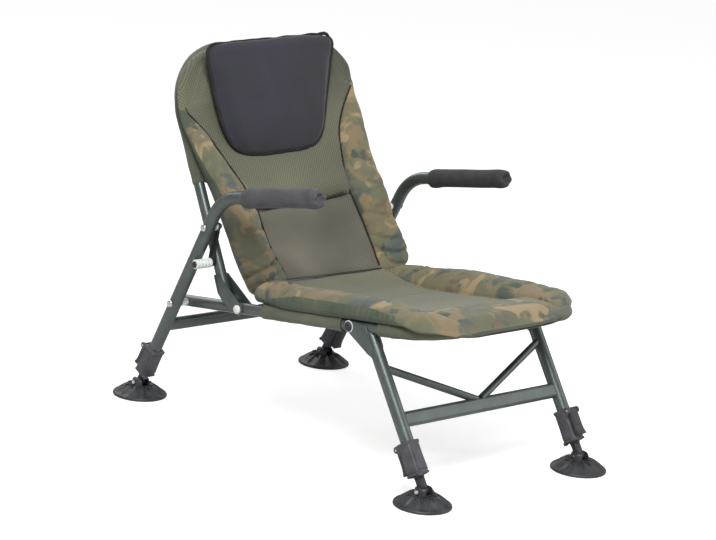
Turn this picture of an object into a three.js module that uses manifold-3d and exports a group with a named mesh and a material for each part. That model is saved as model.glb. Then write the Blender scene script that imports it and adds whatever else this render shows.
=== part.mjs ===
// A low folding fishing chair with armrests, a camouflage padded cover and four adjustable mud feet.
// Millimetres, +Z up, the sitter faces -Y. The origin is on the ground, in the middle of the footprint.
// The seat frame is fixed: the back, the rear legs with their arms and the front legs fold round it.

import * as THREE from 'three';
import { mergeGeometries, mergeVertices } from 'three/addons/utils/BufferGeometryUtils.js';
import Module from 'manifold-3d';

const wasm = await Module();
wasm.setup();

// Fits shared by every piece
const fit_gap = 0.3;
const hole_gap = 0.5;
const overrun = 4;
const round_sides = 16;
const small_sides = 10;
const bolt_sides = 8;
const bend_steps = 6;
const dish_sides = 16;

// Seat frame: one tube bent to a U, its open end to the rear, its front end raised
const rail_x = 232;
const rail_radius = 12.5;
const tube_wall = 1.5;
const seat_tilt = THREE.MathUtils.degToRad(8.5);
const back_pivot_y = 155;
const back_pivot_z = 259;
const rear_pivot_along = 173;
const rail_rear_overhang = 18;
const front_pivot_along = -345;
const seat_front_along = -552;
const seat_corner_radius = 95;

// Back frame: one tube bent to an inverted U, held behind its pivot by two plates a side
const back_lean = THREE.MathUtils.degToRad(28.1);
const back_tube_radius = 12;
const back_tube_offset = 43;
const back_tube_foot = 37;
const back_top_height = 588;
const back_corner_radius = 150;
const plate_thickness = 3;
const plate_tip_height = 88;
const plate_heel_height = 49;
const plate_eye_radius = 14;
const plate_eye_start = THREE.MathUtils.degToRad(155);
const plate_eye_end = THREE.MathUtils.degToRad(315);
const plate_tip_rear = 7.2;
const plate_tip_front = 4.8;
const plate_shoulder_front = 16.8;
const plate_shoulder_height = 68.6;
const plate_heel_rear = 8.4;
const plate_knee_front = 1.2;
const plate_knee_height = 27;

// Rear legs: each one tube with its armrest, outside the seat frame
const leg_radius = 14;
const leg_x = 276;
const rear_leg_lean = THREE.MathUtils.degToRad(25.7);
const arm_bend_height = 289.6;
const arm_bend_turn = THREE.MathUtils.degToRad(52.5);
const arm_bend_radius = 100;
const arm_length = 312;
const arm_toe_in = 2;
const link_pivot_height = 210;
const rear_crossbar_drop = 62;

// Front legs: pivot plates behind each tube, the tube's top stops under the rail
const front_leg_lean = THREE.MathUtils.degToRad(34.5);
const front_leg_offset = 37.5;
const gusset_eye_radius = 12;
const gusset_eye_start = THREE.MathUtils.degToRad(-30);
const gusset_eye_end = THREE.MathUtils.degToRad(115);
const gusset_drop = 82;
const gusset_tip_rear = 2.8;
const gusset_edge_rear = 12.6;
const gusset_edge_drop = 69.7;
const gusset_edge_front = 7;
const gusset_shoulder_drop = 14.4;
const gusset_knee_drop = 61.5;
const front_tube_tuck = 5;
const front_crossbar_drop = 217;
const brace_top_drop = 105;
const brace_radius = 8;
const crossbar_height = 32;
const crossbar_depth = 16;

// Link bars between the rear legs and the back frame, each with a stop roller
const link_foot_height = 115;
const link_width = 18;
const link_thickness = 4;
const link_pin_radius = 4;
const link_pin_head_radius = 7.2;
const link_pin_head_height = 2;
const link_washer = 7;
const roller_end_x = 297;
const roller_ribs = 5;
const roller_rib_depth = 0.8;

// Bolts
const bolt_radius = 4;
const bolt_head_radius = 8;
const bolt_head_height = 5;
const bolt_head_rim_share = 0.4;
const bolt_head_top_share = 0.6;
const nut_radius = 6.5;
const nut_height = 5.4;
const spacer_radius = 8;

// Clamp blocks, their levers and the telescopic inner legs
const clamp_length = 76;
const clamp_side = 36;
const clamp_corner = 5;
const rear_clamp_above_ball = 27;
const front_clamp_above_ball = 34;
const clamp_tube_seat = 46;
const lever_length = 58;
const lever_width = 24;
const lever_thickness = 9;
const lever_lift = 4;
const lever_pin_radius = 2.5;
const inner_leg_radius = 11;
const inner_leg_reach = 212;
const notch_pitch = 20;
const notch_width = 5;
const notch_depth = 1.2;
const notch_count = 3;
const neck_height = 26;
const neck_depth = 12;
const eye_radius = 9;
const eye_width = 18;

// Feet
const foot_ball_height = 30;
const foot_radius = 60;
const foot_rim_width = 7;
const foot_rim_height = 4;
const foot_dome_height = 15;
const foot_skin = 3;
const foot_windows = 6;
const foot_window_width = 14;
const foot_window_length = 18;
const foot_window_radius = 37;
const foot_shoulder_radius = 22;
const foot_knee_radius = 37;
const foot_inner_knee_radius = 36;
const hub_radius = 19;
const hub_height = 40;
const ear_gap = eye_width + 2 * fit_gap;
const foot_pin_radius = 3;
const foot_pin_head_radius = 5;
const foot_pin_head_height = 2.5;

// Fabric
const cloth = 1.5;
const cushion_gap = 1.8;
const grip_length = 262;
const grip_radius = 20;
const grip_end_wall = 8;
const grip_round = 7;

// Seat cover and back cover
const sleeve_rear_start = 72;
const sleeve_rear_end = 316;
const sleeve_front_start = 424;
const sling_start = 48;
const back_sleeve_start = 290;
const back_sling_start = 92;
const back_sling_sag = 8;
const sheet_rows = 8;
const sheet_columns = 8;

// Seat cushion, one row a station: how far along, then the heights above the rails of the side rolls'
// crests, of the seams inside them and of the middle panel
const seat_stations = [
  [24, 59, 52, 50],
  [62, 60, 46, 40],
  [83, 60, 39, 32],
  [106, 60, 31, 26],
  [130, 59, 24, 22],
  [170, 59, 18, 20],
  [197, 59, 17, 20],
  [210, 59, 17, 17],
  [223, 59, 17, 20],
  [300, 58, 17, 19],
  [400, 57, 17, 19],
  [424, 53, 19, 21],
  [435, 50, 18, 18],
  [450, 47, 23, 26],
  [485, 41, 25, 34],
  [520, 35, 25, 31],
  [560, 24, 21, 26],
  [578, 17, 16, 20],
  [588, 11, 11, 13],
  [592, 6, 6, 6],
];
const seat_fold_along = 39;
const seat_fold_crest_along = 54;
const seat_pad_half_width = 264;
const seat_pad_waist = 212;
const seat_pad_waist_end = 135;
const seat_corner_margin = 14;
const seat_front_drop = 12;
const seat_front_margin = 6;
const pad_corner_radius = 120;

// Side rolls of the cushions: how far in from the edge each column of the roll lies, how high it
// stands of the crest's height, and how high the underside stands there
const roll_insets = [0, 9, 30, 57, 85, 112];
const roll_top_shares = [0.5, 0.79, 0.95, 1, 0.75, 0];
const roll_foot_shares = [0.3, 0.1, 0, 0, 0, 0];
const crest_column = 3;

// Back cushion, one row a station: height up the back and half width, then the place across and the
// depth of the bolsters' crests and of the seams inside them, and the depth of the middle panel.
// Depths are measured to the rear from the back's pivot.
const back_stations = [
  [40, 185, 190, -66, 139, -50, -50],
  [64, 192, 198, -67, 141, -41, -46],
  [89, 197, 203, -65, 144, -33, -40],
  [120, 202, 205, -64, 146, -27, -31],
  [150, 206, 205, -62, 148, -20, -24],
  [185, 210, 205, -60, 153, -11, -15],
  [210, 213, 207, -55, 157, -4, 2],
  [228, 215, 209, -50, 162, -2, -4],
  [270, 222, 214, -38, 176, 4, 3],
  [316, 233, 222, -22, 193, 10, 10],
  [356, 240, 231, -8, 210, 13, 14],
  [403, 247, 238, -2, 222, 14, 14],
  [440, 250, 238, 2, 222, 14, 14],
  [480, 247, 232, 6, 212, 14, 14],
  [530, 228, 212, 9, 195, 13, 13],
  [575, 188, 172, 10, 155, 11, 11],
  [595, 152, 138, 11, 122, 11, 11],
  [606, 95, 86, 15, 76, 14, 14],
];
const back_pad_foot = 24;
const bolster_bulge = 9;
const bolster_bulge_share = 0.5;
const bolster_shoulder_share = 0.87;

// Head pillow, one row a station: height up the back, half width and the depth of its edge seam
const pillow_stations = [
  [340, 110, 8],
  [352, 140, 8],
  [375, 160, 7],
  [400, 170, 5],
  [440, 176, 0],
  [480, 182, -6],
  [540, 187, -20],
  [585, 190, -33],
  [598, 184, -35],
];
const pillow_columns = 10;
const pillow_bulge = 20;
const pillow_rim = 3;

// Materials
const frame_paint = new THREE.MeshStandardMaterial({ color: 0x55605c, roughness: 0.42, metalness: 0.35 });
const black_steel = new THREE.MeshStandardMaterial({ color: 0x2c2e30, roughness: 0.45, metalness: 0.5 });
const bright_steel = new THREE.MeshStandardMaterial({ color: 0xc9ccce, roughness: 0.25, metalness: 0.9 });
const clamp_plastic = new THREE.MeshStandardMaterial({ color: 0x3b393f, roughness: 0.6, metalness: 0 });
const foot_plastic = new THREE.MeshStandardMaterial({ color: 0x26272a, roughness: 0.5, metalness: 0 });
const white_nylon = new THREE.MeshStandardMaterial({ color: 0xd9d9d4, roughness: 0.5, metalness: 0 });
const grip_foam = new THREE.MeshStandardMaterial({ color: 0x45434b, roughness: 0.95, metalness: 0 });
const sling_cloth = new THREE.MeshStandardMaterial({ color: 0x5c604b, roughness: 0.9, metalness: 0 });
const cover_cloth = new THREE.MeshStandardMaterial({ color: 0x6b6a52, roughness: 0.92, metalness: 0 });
const pillow_cloth = new THREE.MeshStandardMaterial({ color: 0x45434e, roughness: 0.95, metalness: 0 });

const chair = new THREE.Group();

// Adds one finished piece to the group that carries it
function addPiece(parent, name, geometry, material) {
  const mesh = new THREE.Mesh(geometry, material);
  mesh.name = name;
  parent.add(mesh);
  return mesh;
}

// A group turned about X and set at a point of the chair's side view
function sideGroup(parent, y, z, turn) {
  const group = new THREE.Group();
  group.position.set(0, y, z);
  group.rotation.x = turn;
  parent.add(group);
  return group;
}

// Booleans on closed geometries
function toSolid(geometry) {
  const bare = geometry.clone();
  bare.deleteAttribute('normal');
  bare.deleteAttribute('uv');
  const merged = mergeVertices(bare);
  return new wasm.Manifold(new wasm.Mesh({
    numProp: 3,
    vertProperties: new Float32Array(merged.attributes.position.array),
    triVerts: new Uint32Array(merged.index.array),
  }));
}

function toGeometry(solid) {
  const mesh = solid.getMesh();
  const geometry = new THREE.BufferGeometry();
  geometry.setAttribute('position', new THREE.BufferAttribute(mesh.vertProperties, 3));
  geometry.setIndex(new THREE.BufferAttribute(mesh.triVerts, 1));
  return geometry;
}

function cut(geometry, cutters) {
  let solid = toSolid(geometry);
  for (const cutter of cutters) {
    solid = solid.subtract(toSolid(cutter));
  }
  return toGeometry(solid);
}

function join(geometries) {
  let solid = toSolid(geometries[0]);
  for (const geometry of geometries.slice(1)) {
    solid = solid.add(toSolid(geometry));
  }
  return toGeometry(solid);
}

// Round bars lying along X, from x0 to x1, at (y, z)
function barX(radius, x0, x1, y, z, sides = bolt_sides) {
  const geometry = new THREE.CylinderGeometry(radius, radius, x1 - x0, sides);
  geometry.rotateZ(-Math.PI / 2);
  geometry.translate((x0 + x1) / 2, y, z);
  return geometry;
}

// A solid of revolution round Z from [radius, height] pairs
function turned(profile, sides = round_sides) {
  const points = profile.map(([radius, height]) => new THREE.Vector2(radius, height));
  const geometry = new THREE.LatheGeometry(points, sides);
  geometry.rotateX(Math.PI / 2);
  return geometry;
}

// A collar round a bore along X, from x0 to x1, at (y, z)
function collarX(outer, inner, x0, x1, y, z) {
  const length = x1 - x0;
  const profile = [[inner, 0], [outer, 0], [outer, length], [inner, length], [inner, 0]];
  const geometry = turned(profile, bolt_sides);
  geometry.rotateY(Math.PI / 2);
  geometry.translate(x0, y, z);
  return geometry;
}

// A bolt along X: its head outside at x_head, its shank to x_end, and a nut on that end where it has one
function boltX(x_head, x_end, y, z, nut_at = null) {
  const out = Math.sign(x_head - x_end);
  const head = turned([
    [0, 0],
    [bolt_head_radius, 0],
    [bolt_head_radius, bolt_head_height * bolt_head_rim_share],
    [bolt_head_radius * bolt_head_top_share, bolt_head_height],
    [0, bolt_head_height],
  ], bolt_sides);
  head.rotateY(out * Math.PI / 2);
  head.translate(x_head, y, z);
  const pieces = [head];
  const shank_root = x_head + out * bolt_head_height * bolt_head_rim_share;
  pieces.push(barX(bolt_radius, Math.min(shank_root, x_end), Math.max(shank_root, x_end), y, z));
  if (nut_at !== null) {
    const nut_far = nut_at - out * nut_height;
    pieces.push(barX(nut_radius, Math.min(nut_at, nut_far), Math.max(nut_at, nut_far), y, z, 6));
  }
  return join(pieces);
}

// A path of straight runs with round bends at its corners, with stations only where it bends
class BentPath extends THREE.Curve {
  constructor(corners, bend_radius, bend_steps) {
    super();
    this.stations = [corners[0].clone()];
    this.tangents = [corners[1].clone().sub(corners[0]).normalize()];
    for (let i = 1; i < corners.length - 1; i += 1) {
      const before = corners[i].clone().sub(corners[i - 1]).normalize();
      const after = corners[i + 1].clone().sub(corners[i]).normalize();
      const turn = before.angleTo(after);
      const axis = before.clone().cross(after).normalize();
      const start = corners[i].clone().addScaledVector(before, -bend_radius * Math.tan(turn / 2));
      const centre = start.clone().addScaledVector(axis.clone().cross(before), bend_radius);
      for (let step = 0; step <= bend_steps; step += 1) {
        const angle = turn * step / bend_steps;
        this.stations.push(start.clone().sub(centre).applyAxisAngle(axis, angle).add(centre));
        this.tangents.push(before.clone().applyAxisAngle(axis, angle));
      }
    }
    const last = corners.length - 1;
    this.stations.push(corners[last].clone());
    this.tangents.push(corners[last].clone().sub(corners[last - 1]).normalize());
  }

  getPointAt(share, target = new THREE.Vector3()) {
    return target.copy(this.stations[Math.round(share * (this.stations.length - 1))]);
  }

  getTangentAt(share, target = new THREE.Vector3()) {
    return target.copy(this.tangents[Math.round(share * (this.tangents.length - 1))]);
  }
}

// A round tube along a path, hollow where an inner radius is given
function tubeAlong(path, outer, inner, sides = round_sides) {
  const section = new THREE.Shape().absarc(0, 0, outer, 0, 2 * Math.PI, false);
  if (inner > 0) {
    section.holes.push(new THREE.Path().absarc(0, 0, inner, 0, 2 * Math.PI, true));
  }
  return new THREE.ExtrudeGeometry(section, {
    steps: path.stations.length - 1,
    curveSegments: sides / 2,
    bevelEnabled: false,
    extrudePath: path,
  });
}

// A straight bar of any section, extruded from x0 to x1 along X; the section is drawn in (y, z)
function prismX(shape, x0, x1, sides = small_sides) {
  const geometry = new THREE.ExtrudeGeometry(shape, {
    depth: x1 - x0,
    bevelEnabled: false,
    curveSegments: Math.round(sides / 4),
  });
  geometry.rotateY(Math.PI / 2);
  geometry.rotateX(Math.PI / 2);
  geometry.translate(x0, 0, 0);
  return geometry;
}

// A stadium: two half circles joined by straight sides, tall in z
function stadium(depth, height, y = 0, z = 0) {
  const radius = depth / 2;
  const reach = height / 2 - radius;
  const shape = new THREE.Shape();
  shape.absarc(y, z + reach, radius, 0, Math.PI, false);
  shape.absarc(y, z - reach, radius, Math.PI, 2 * Math.PI, false);
  shape.closePath();
  return shape;
}

const hole_radius = bolt_radius + hole_gap;
const tube_bore = (radius) => radius - tube_wall;
const bothSides = [['right', -1], ['left', 1]];

// Seat frame, drawn in the tilted plane of the seat: x across, y to the rear along the rail, z square to it
const seat_group = sideGroup(chair, back_pivot_y, back_pivot_z, -seat_tilt);
const rail_end = rear_pivot_along + rail_rear_overhang;
const seat_path = new BentPath([
  new THREE.Vector3(-rail_x, rail_end, 0),
  new THREE.Vector3(-rail_x, seat_front_along, 0),
  new THREE.Vector3(rail_x, seat_front_along, 0),
  new THREE.Vector3(rail_x, rail_end, 0),
], seat_corner_radius, bend_steps);
const rail_holes = [0, rear_pivot_along, front_pivot_along].map((along) => (
  barX(hole_radius, -rail_x - rail_radius - overrun, rail_x + rail_radius + overrun, along, 0)
));
addPiece(
  seat_group,
  'seat_frame',
  cut(tubeAlong(seat_path, rail_radius, tube_bore(rail_radius)), rail_holes),
  frame_paint,
);

// Back frame, drawn upright about its pivot: x across, y to the rear, z up along the tubes
const back_group = sideGroup(chair, back_pivot_y, back_pivot_z, -back_lean);
const back_path = new BentPath([
  new THREE.Vector3(-rail_x, back_tube_offset, back_tube_foot),
  new THREE.Vector3(-rail_x, back_tube_offset, back_top_height),
  new THREE.Vector3(rail_x, back_tube_offset, back_top_height),
  new THREE.Vector3(rail_x, back_tube_offset, back_tube_foot),
], back_corner_radius, bend_steps);
addPiece(
  back_group,
  'backrest_frame',
  cut(tubeAlong(back_path, back_tube_radius, tube_bore(back_tube_radius)), [
    barX(
      hole_radius,
      -rail_x - rail_radius - overrun,
      rail_x + rail_radius + overrun,
      back_tube_offset,
      link_foot_height,
    ),
  ]),
  frame_paint,
);

// Pivot plates of the back: one each side of the seat rail, welded to the foot of the back tube
const plate_inner_x = rail_radius + fit_gap;
const plate_outer_x = plate_inner_x + plate_thickness;
const plate_shape = new THREE.Shape();
plate_shape.moveTo(back_tube_offset + plate_tip_rear, plate_tip_height);
plate_shape.lineTo(back_tube_offset - plate_tip_front, plate_tip_height);
plate_shape.lineTo(back_tube_offset - plate_shoulder_front, plate_shoulder_height);
plate_shape.absarc(0, 0, plate_eye_radius, plate_eye_start, plate_eye_end, false);
plate_shape.lineTo(back_tube_offset - plate_knee_front, plate_knee_height);
plate_shape.lineTo(back_tube_offset + plate_heel_rear, plate_heel_height);
plate_shape.closePath();
for (const [side, sign] of bothSides) {
  for (const [where, out] of [['outer', sign], ['inner', -sign]]) {
    const near = sign * rail_x + out * plate_inner_x;
    const far = sign * rail_x + out * plate_outer_x;
    const plate = prismX(plate_shape, Math.min(near, far), Math.max(near, far));
    const eye = barX(hole_radius, Math.min(near, far) - overrun, Math.max(near, far) + overrun, 0, 0);
    addPiece(back_group, `back_plate_${where}_${side}`, cut(plate, [eye]), frame_paint);
  }
}

// Rear legs with the arms, drawn upright about their pivot: z up the leg
const rear_pivot_y = back_pivot_y + rear_pivot_along * Math.cos(seat_tilt);
const rear_pivot_z = back_pivot_z - rear_pivot_along * Math.sin(seat_tilt);
const rear_group = sideGroup(chair, rear_pivot_y, rear_pivot_z, rear_leg_lean);
const rear_ball_drop = (rear_pivot_z - foot_ball_height) / Math.cos(rear_leg_lean);
const rear_tube_foot = -(rear_ball_drop - rear_clamp_above_ball - clamp_length + clamp_tube_seat);
const arm_end = (sign) => new THREE.Vector3(
  sign * (leg_x - arm_toe_in),
  -arm_length * Math.sin(arm_bend_turn),
  arm_bend_height + arm_length * Math.cos(arm_bend_turn),
);
const arm_corner = (sign) => new THREE.Vector3(sign * leg_x, 0, arm_bend_height);
for (const [side, sign] of bothSides) {
  const path = new BentPath([
    new THREE.Vector3(sign * leg_x, 0, rear_tube_foot),
    arm_corner(sign),
    arm_end(sign),
  ], arm_bend_radius, bend_steps);
  const hole_ends = [sign * leg_x - leg_radius - overrun, sign * leg_x + leg_radius + overrun];
  addPiece(rear_group, `rear_leg_${side}`, cut(tubeAlong(path, leg_radius, tube_bore(leg_radius)), [
    barX(hole_radius, ...hole_ends, 0, 0),
    barX(hole_radius, ...hole_ends, 0, link_pivot_height),
  ]), frame_paint);

  // Foam grip: a closed-ended sleeve over the last stretch of the arm
  const arm_direction = arm_end(sign).sub(arm_corner(sign)).normalize();
  const bore = leg_radius + fit_gap;
  const round_middle = grip_round * (1 - Math.SQRT1_2);
  const grip = turned([
    [bore, -grip_length],
    [grip_radius - grip_round / 2, -grip_length],
    [grip_radius, grip_round / 2 - grip_length],
    [grip_radius, grip_end_wall - grip_round],
    [grip_radius - round_middle, grip_end_wall - round_middle],
    [grip_radius - grip_round, grip_end_wall],
    [0, grip_end_wall],
    [0, fit_gap],
    [bore, fit_gap],
    [bore, -grip_length],
  ]);
  const up = new THREE.Vector3(0, 0, 1);
  grip.applyQuaternion(new THREE.Quaternion().setFromUnitVectors(up, arm_direction));
  const grip_place = arm_end(sign);
  grip.translate(grip_place.x, grip_place.y, grip_place.z);
  addPiece(rear_group, `arm_grip_${side}`, grip, grip_foam);
}

// A hollow flat-oval bar across the chair, coped to the two leg tubes it is welded to
function crossbar(z, half_span, cope_radius) {
  const section = stadium(crossbar_depth, crossbar_height, 0, z);
  section.holes.push(stadium(crossbar_depth - 2 * tube_wall, crossbar_height - 2 * tube_wall, 0, z));
  const bar = prismX(section, -half_span, half_span);
  return cut(bar, [-1, 1].map((sign) => {
    const tube = new THREE.CylinderGeometry(cope_radius, cope_radius, crossbar_height * 2, round_sides);
    tube.rotateX(Math.PI / 2);
    tube.translate(sign * half_span, 0, z);
    return tube;
  }));
}

const cope_radius = leg_radius + fit_gap;
addPiece(rear_group, 'rear_crossbar', crossbar(-rear_crossbar_drop, leg_x, cope_radius), frame_paint);

// Front legs, drawn upright about their pivot under the seat rail
const front_pivot_y = back_pivot_y + front_pivot_along * Math.cos(seat_tilt);
const front_pivot_z = back_pivot_z - front_pivot_along * Math.sin(seat_tilt);
const front_group = sideGroup(chair, front_pivot_y, front_pivot_z, -front_leg_lean);
const front_ball_rise = front_pivot_z + front_leg_offset * Math.sin(front_leg_lean) - foot_ball_height;
const front_ball_drop = front_ball_rise / Math.cos(front_leg_lean);
const front_tube_foot = -(front_ball_drop - front_clamp_above_ball - clamp_length + clamp_tube_seat);
const front_tube_top = -front_leg_offset * Math.tan(front_leg_lean - seat_tilt) - front_tube_tuck;
const gusset_shape = new THREE.Shape();
gusset_shape.moveTo(gusset_tip_rear - front_leg_offset, -gusset_drop);
gusset_shape.lineTo(gusset_edge_rear - front_leg_offset, -gusset_edge_drop);
gusset_shape.absarc(0, 0, gusset_eye_radius, gusset_eye_start, gusset_eye_end, false);
gusset_shape.lineTo(-front_leg_offset - gusset_edge_front, -gusset_shoulder_drop);
gusset_shape.lineTo(-front_leg_offset - gusset_edge_front, -gusset_knee_drop);
gusset_shape.closePath();
const rail_clearance = new THREE.CylinderGeometry(
  rail_radius + fit_gap,
  rail_radius + fit_gap,
  front_ball_drop,
  round_sides,
);
rail_clearance.rotateX(front_leg_lean - seat_tilt);
for (const [side, sign] of bothSides) {
  const leg_path = new BentPath([
    new THREE.Vector3(sign * rail_x, -front_leg_offset, front_tube_foot),
    new THREE.Vector3(sign * rail_x, -front_leg_offset, front_tube_top),
  ]);
  const plates = [-1, 1].map((out) => {
    const near = sign * rail_x + out * plate_inner_x;
    const far = sign * rail_x + out * plate_outer_x;
    return prismX(gusset_shape, Math.min(near, far), Math.max(near, far));
  });
  const rail_void = rail_clearance.clone().translate(sign * rail_x, 0, 0);
  const void_reach = plate_outer_x + overrun;
  const bolt_void = barX(hole_radius, sign * rail_x - void_reach, sign * rail_x + void_reach, 0, 0);
  const tube = cut(tubeAlong(leg_path, leg_radius, tube_bore(leg_radius)), [rail_void]);
  addPiece(front_group, `front_leg_${side}`, cut(join([tube, ...plates]), [bolt_void]), frame_paint);
}
const front_crossbar = crossbar(-front_crossbar_drop, rail_x, cope_radius);
front_crossbar.translate(0, -front_leg_offset, 0);
addPiece(front_group, 'front_crossbar', front_crossbar, frame_paint);

// V brace: a tube from each leg down to the middle of the crossbar, coped at both ends
for (const [side, sign] of bothSides) {
  const brace_foot_z = -front_crossbar_drop + crossbar_height / 2 + fit_gap;
  const foot_x = sign * (brace_radius + fit_gap);
  const foot = new THREE.Vector3(foot_x, -front_leg_offset, brace_foot_z - brace_radius);
  const head = new THREE.Vector3(sign * rail_x, -front_leg_offset, -brace_top_drop);
  const brace = tubeAlong(new BentPath([foot, head]), brace_radius, tube_bore(brace_radius), small_sides);
  const leg_void = new THREE.CylinderGeometry(cope_radius, cope_radius, front_ball_drop, round_sides);
  leg_void.rotateX(Math.PI / 2);
  leg_void.translate(sign * rail_x, -front_leg_offset, -front_ball_drop / 2);
  const below = new THREE.BoxGeometry(rail_x * 2, crossbar_height, crossbar_height);
  below.translate(0, -front_leg_offset, brace_foot_z - crossbar_height / 2);
  const beside = new THREE.BoxGeometry(crossbar_height, crossbar_height, crossbar_height * 2);
  beside.translate(sign * (fit_gap / 2 - crossbar_height / 2), -front_leg_offset, brace_foot_z);
  addPiece(front_group, `front_brace_${side}`, cut(brace, [leg_void, below, beside]), frame_paint);
}

// Pivot bolts. Each pair is the same bolt turned round
for (const [side, sign] of bothSides) {
  const leg_face = sign * (leg_x + leg_radius + fit_gap);
  const rail_inner = sign * (rail_x - rail_radius - fit_gap);
  const nut_end = rail_inner - sign * nut_height;
  addPiece(
    seat_group,
    `rear_pivot_bolt_${side}`,
    boltX(leg_face, nut_end - sign * fit_gap, rear_pivot_along, 0, rail_inner),
    bright_steel,
  );
  const spacer_in = rail_x + rail_radius + fit_gap;
  const spacer_out = leg_x - leg_radius - fit_gap;
  const spacer_ends = sign > 0 ? [spacer_in, spacer_out] : [-spacer_out, -spacer_in];
  addPiece(
    seat_group,
    `rear_pivot_spacer_${side}`,
    collarX(spacer_radius, hole_radius, ...spacer_ends, rear_pivot_along, 0),
    white_nylon,
  );
  const plate_face = sign * (rail_x + plate_outer_x + fit_gap);
  const plate_back = sign * (rail_x - plate_outer_x - fit_gap);
  const pivots = [['back_pivot_bolt', 0], ['front_pivot_bolt', front_pivot_along]];
  for (const [name, along] of pivots) {
    addPiece(
      seat_group,
      `${name}_${side}`,
      boltX(plate_face, plate_back - sign * (nut_height + fit_gap), along, 0, plate_back),
      bright_steel,
    );
  }
}

// Link bars: each hangs from the rear leg and carries the stop roller in front of the leg tube
const link_pivot_y = rear_pivot_y - link_pivot_height * Math.sin(rear_leg_lean);
const link_pivot_z = rear_pivot_z + link_pivot_height * Math.cos(rear_leg_lean);
const link_foot_y = back_pivot_y
  + back_tube_offset * Math.cos(back_lean) + link_foot_height * Math.sin(back_lean);
const link_foot_z = back_pivot_z
  - back_tube_offset * Math.sin(back_lean) + link_foot_height * Math.cos(back_lean);
const link_dy = link_foot_y - link_pivot_y;
const link_dz = link_foot_z - link_pivot_z;
const link_length = Math.hypot(link_dy, link_dz);
const link_group = sideGroup(chair, link_pivot_y, link_pivot_z, Math.atan2(link_dy, -link_dz));
const foot_from_pivot_y = link_foot_y - rear_pivot_y;
const foot_from_pivot_z = link_foot_z - rear_pivot_z;
const roller_reach = Math.abs(
  foot_from_pivot_y * Math.cos(rear_leg_lean) + foot_from_pivot_z * Math.sin(rear_leg_lean),
);
const roller_radius = roller_reach - leg_radius - fit_gap;
const link_far_x = leg_x - leg_radius - 2 * fit_gap - link_washer;
const link_near_x = link_far_x - link_thickness;
for (const [side, sign] of bothSides) {
  const span = (low, high) => (sign > 0 ? [low, high] : [-high, -low]);
  const bar_shape = stadium(link_width, link_length + link_width, 0, -link_length / 2);
  const bar = cut(prismX(bar_shape, ...span(link_near_x, link_far_x)), [
    barX(hole_radius, ...span(link_near_x - overrun, link_far_x + overrun), 0, 0),
  ]);
  const pin_ends = span(link_near_x + fit_gap, roller_end_x + fit_gap * 2);
  const pin = barX(link_pin_radius, ...pin_ends, 0, -link_length);
  const pin_head = barX(
    link_pin_head_radius,
    ...span(roller_end_x + fit_gap, roller_end_x + fit_gap + link_pin_head_height),
    0,
    -link_length,
  );
  addPiece(link_group, `stay_link_${side}`, join([bar, pin, pin_head]), black_steel);

  const roller_start = link_far_x + fit_gap;
  const rib = (roller_end_x - roller_start) / (2 * roller_ribs - 1);
  const bore = link_pin_radius + hole_gap;
  const profile = [[bore, 0]];
  for (let i = 0; i < roller_ribs; i += 1) {
    const low = 2 * i * rib;
    profile.push([roller_radius, low], [roller_radius, low + rib]);
    if (i < roller_ribs - 1) {
      const groove_radius = roller_radius - roller_rib_depth;
      profile.push([groove_radius, low + rib], [groove_radius, low + 2 * rib]);
    }
  }
  profile.push([bore, roller_end_x - roller_start], [bore, 0]);
  const roller = turned(profile, small_sides);
  roller.rotateY(sign * Math.PI / 2);
  roller.translate(sign * roller_start, 0, -link_length);
  addPiece(link_group, `stop_roller_${side}`, roller, white_nylon);

  const washer_ends = span(link_far_x + fit_gap, leg_x - leg_radius - fit_gap);
  addPiece(
    rear_group,
    `link_washer_${side}`,
    collarX(spacer_radius, hole_radius, ...washer_ends, 0, link_pivot_height),
    white_nylon,
  );
  const link_inner = sign * (link_near_x - fit_gap);
  addPiece(
    rear_group,
    `link_bolt_${side}`,
    boltX(
      sign * (leg_x + leg_radius + fit_gap),
      link_inner - sign * (nut_height + fit_gap),
      0,
      link_pivot_height,
      link_inner,
    ),
    bright_steel,
  );

  // The back tube's own bolt: its head is the boss that meets the link, its nut is inside the tube
  const tube_face = sign * (rail_x + back_tube_radius + fit_gap);
  const tube_inner = sign * (rail_x - back_tube_radius - fit_gap);
  const boss = barX(
    nut_radius,
    ...span(rail_x + back_tube_radius + fit_gap, link_near_x - fit_gap),
    back_tube_offset,
    link_foot_height,
  );
  const shank_tip = tube_inner - sign * (nut_height + fit_gap);
  const shank_ends = [tube_face + sign * fit_gap, shank_tip].sort((a, b) => a - b);
  const nut_ends = [tube_inner, tube_inner - sign * nut_height].sort((a, b) => a - b);
  addPiece(back_group, `back_tube_bolt_${side}`, join([
    boss,
    barX(bolt_radius, ...shank_ends, back_tube_offset, link_foot_height),
    barX(nut_radius, ...nut_ends, back_tube_offset, link_foot_height, 6),
  ]), black_steel);
}

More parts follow.
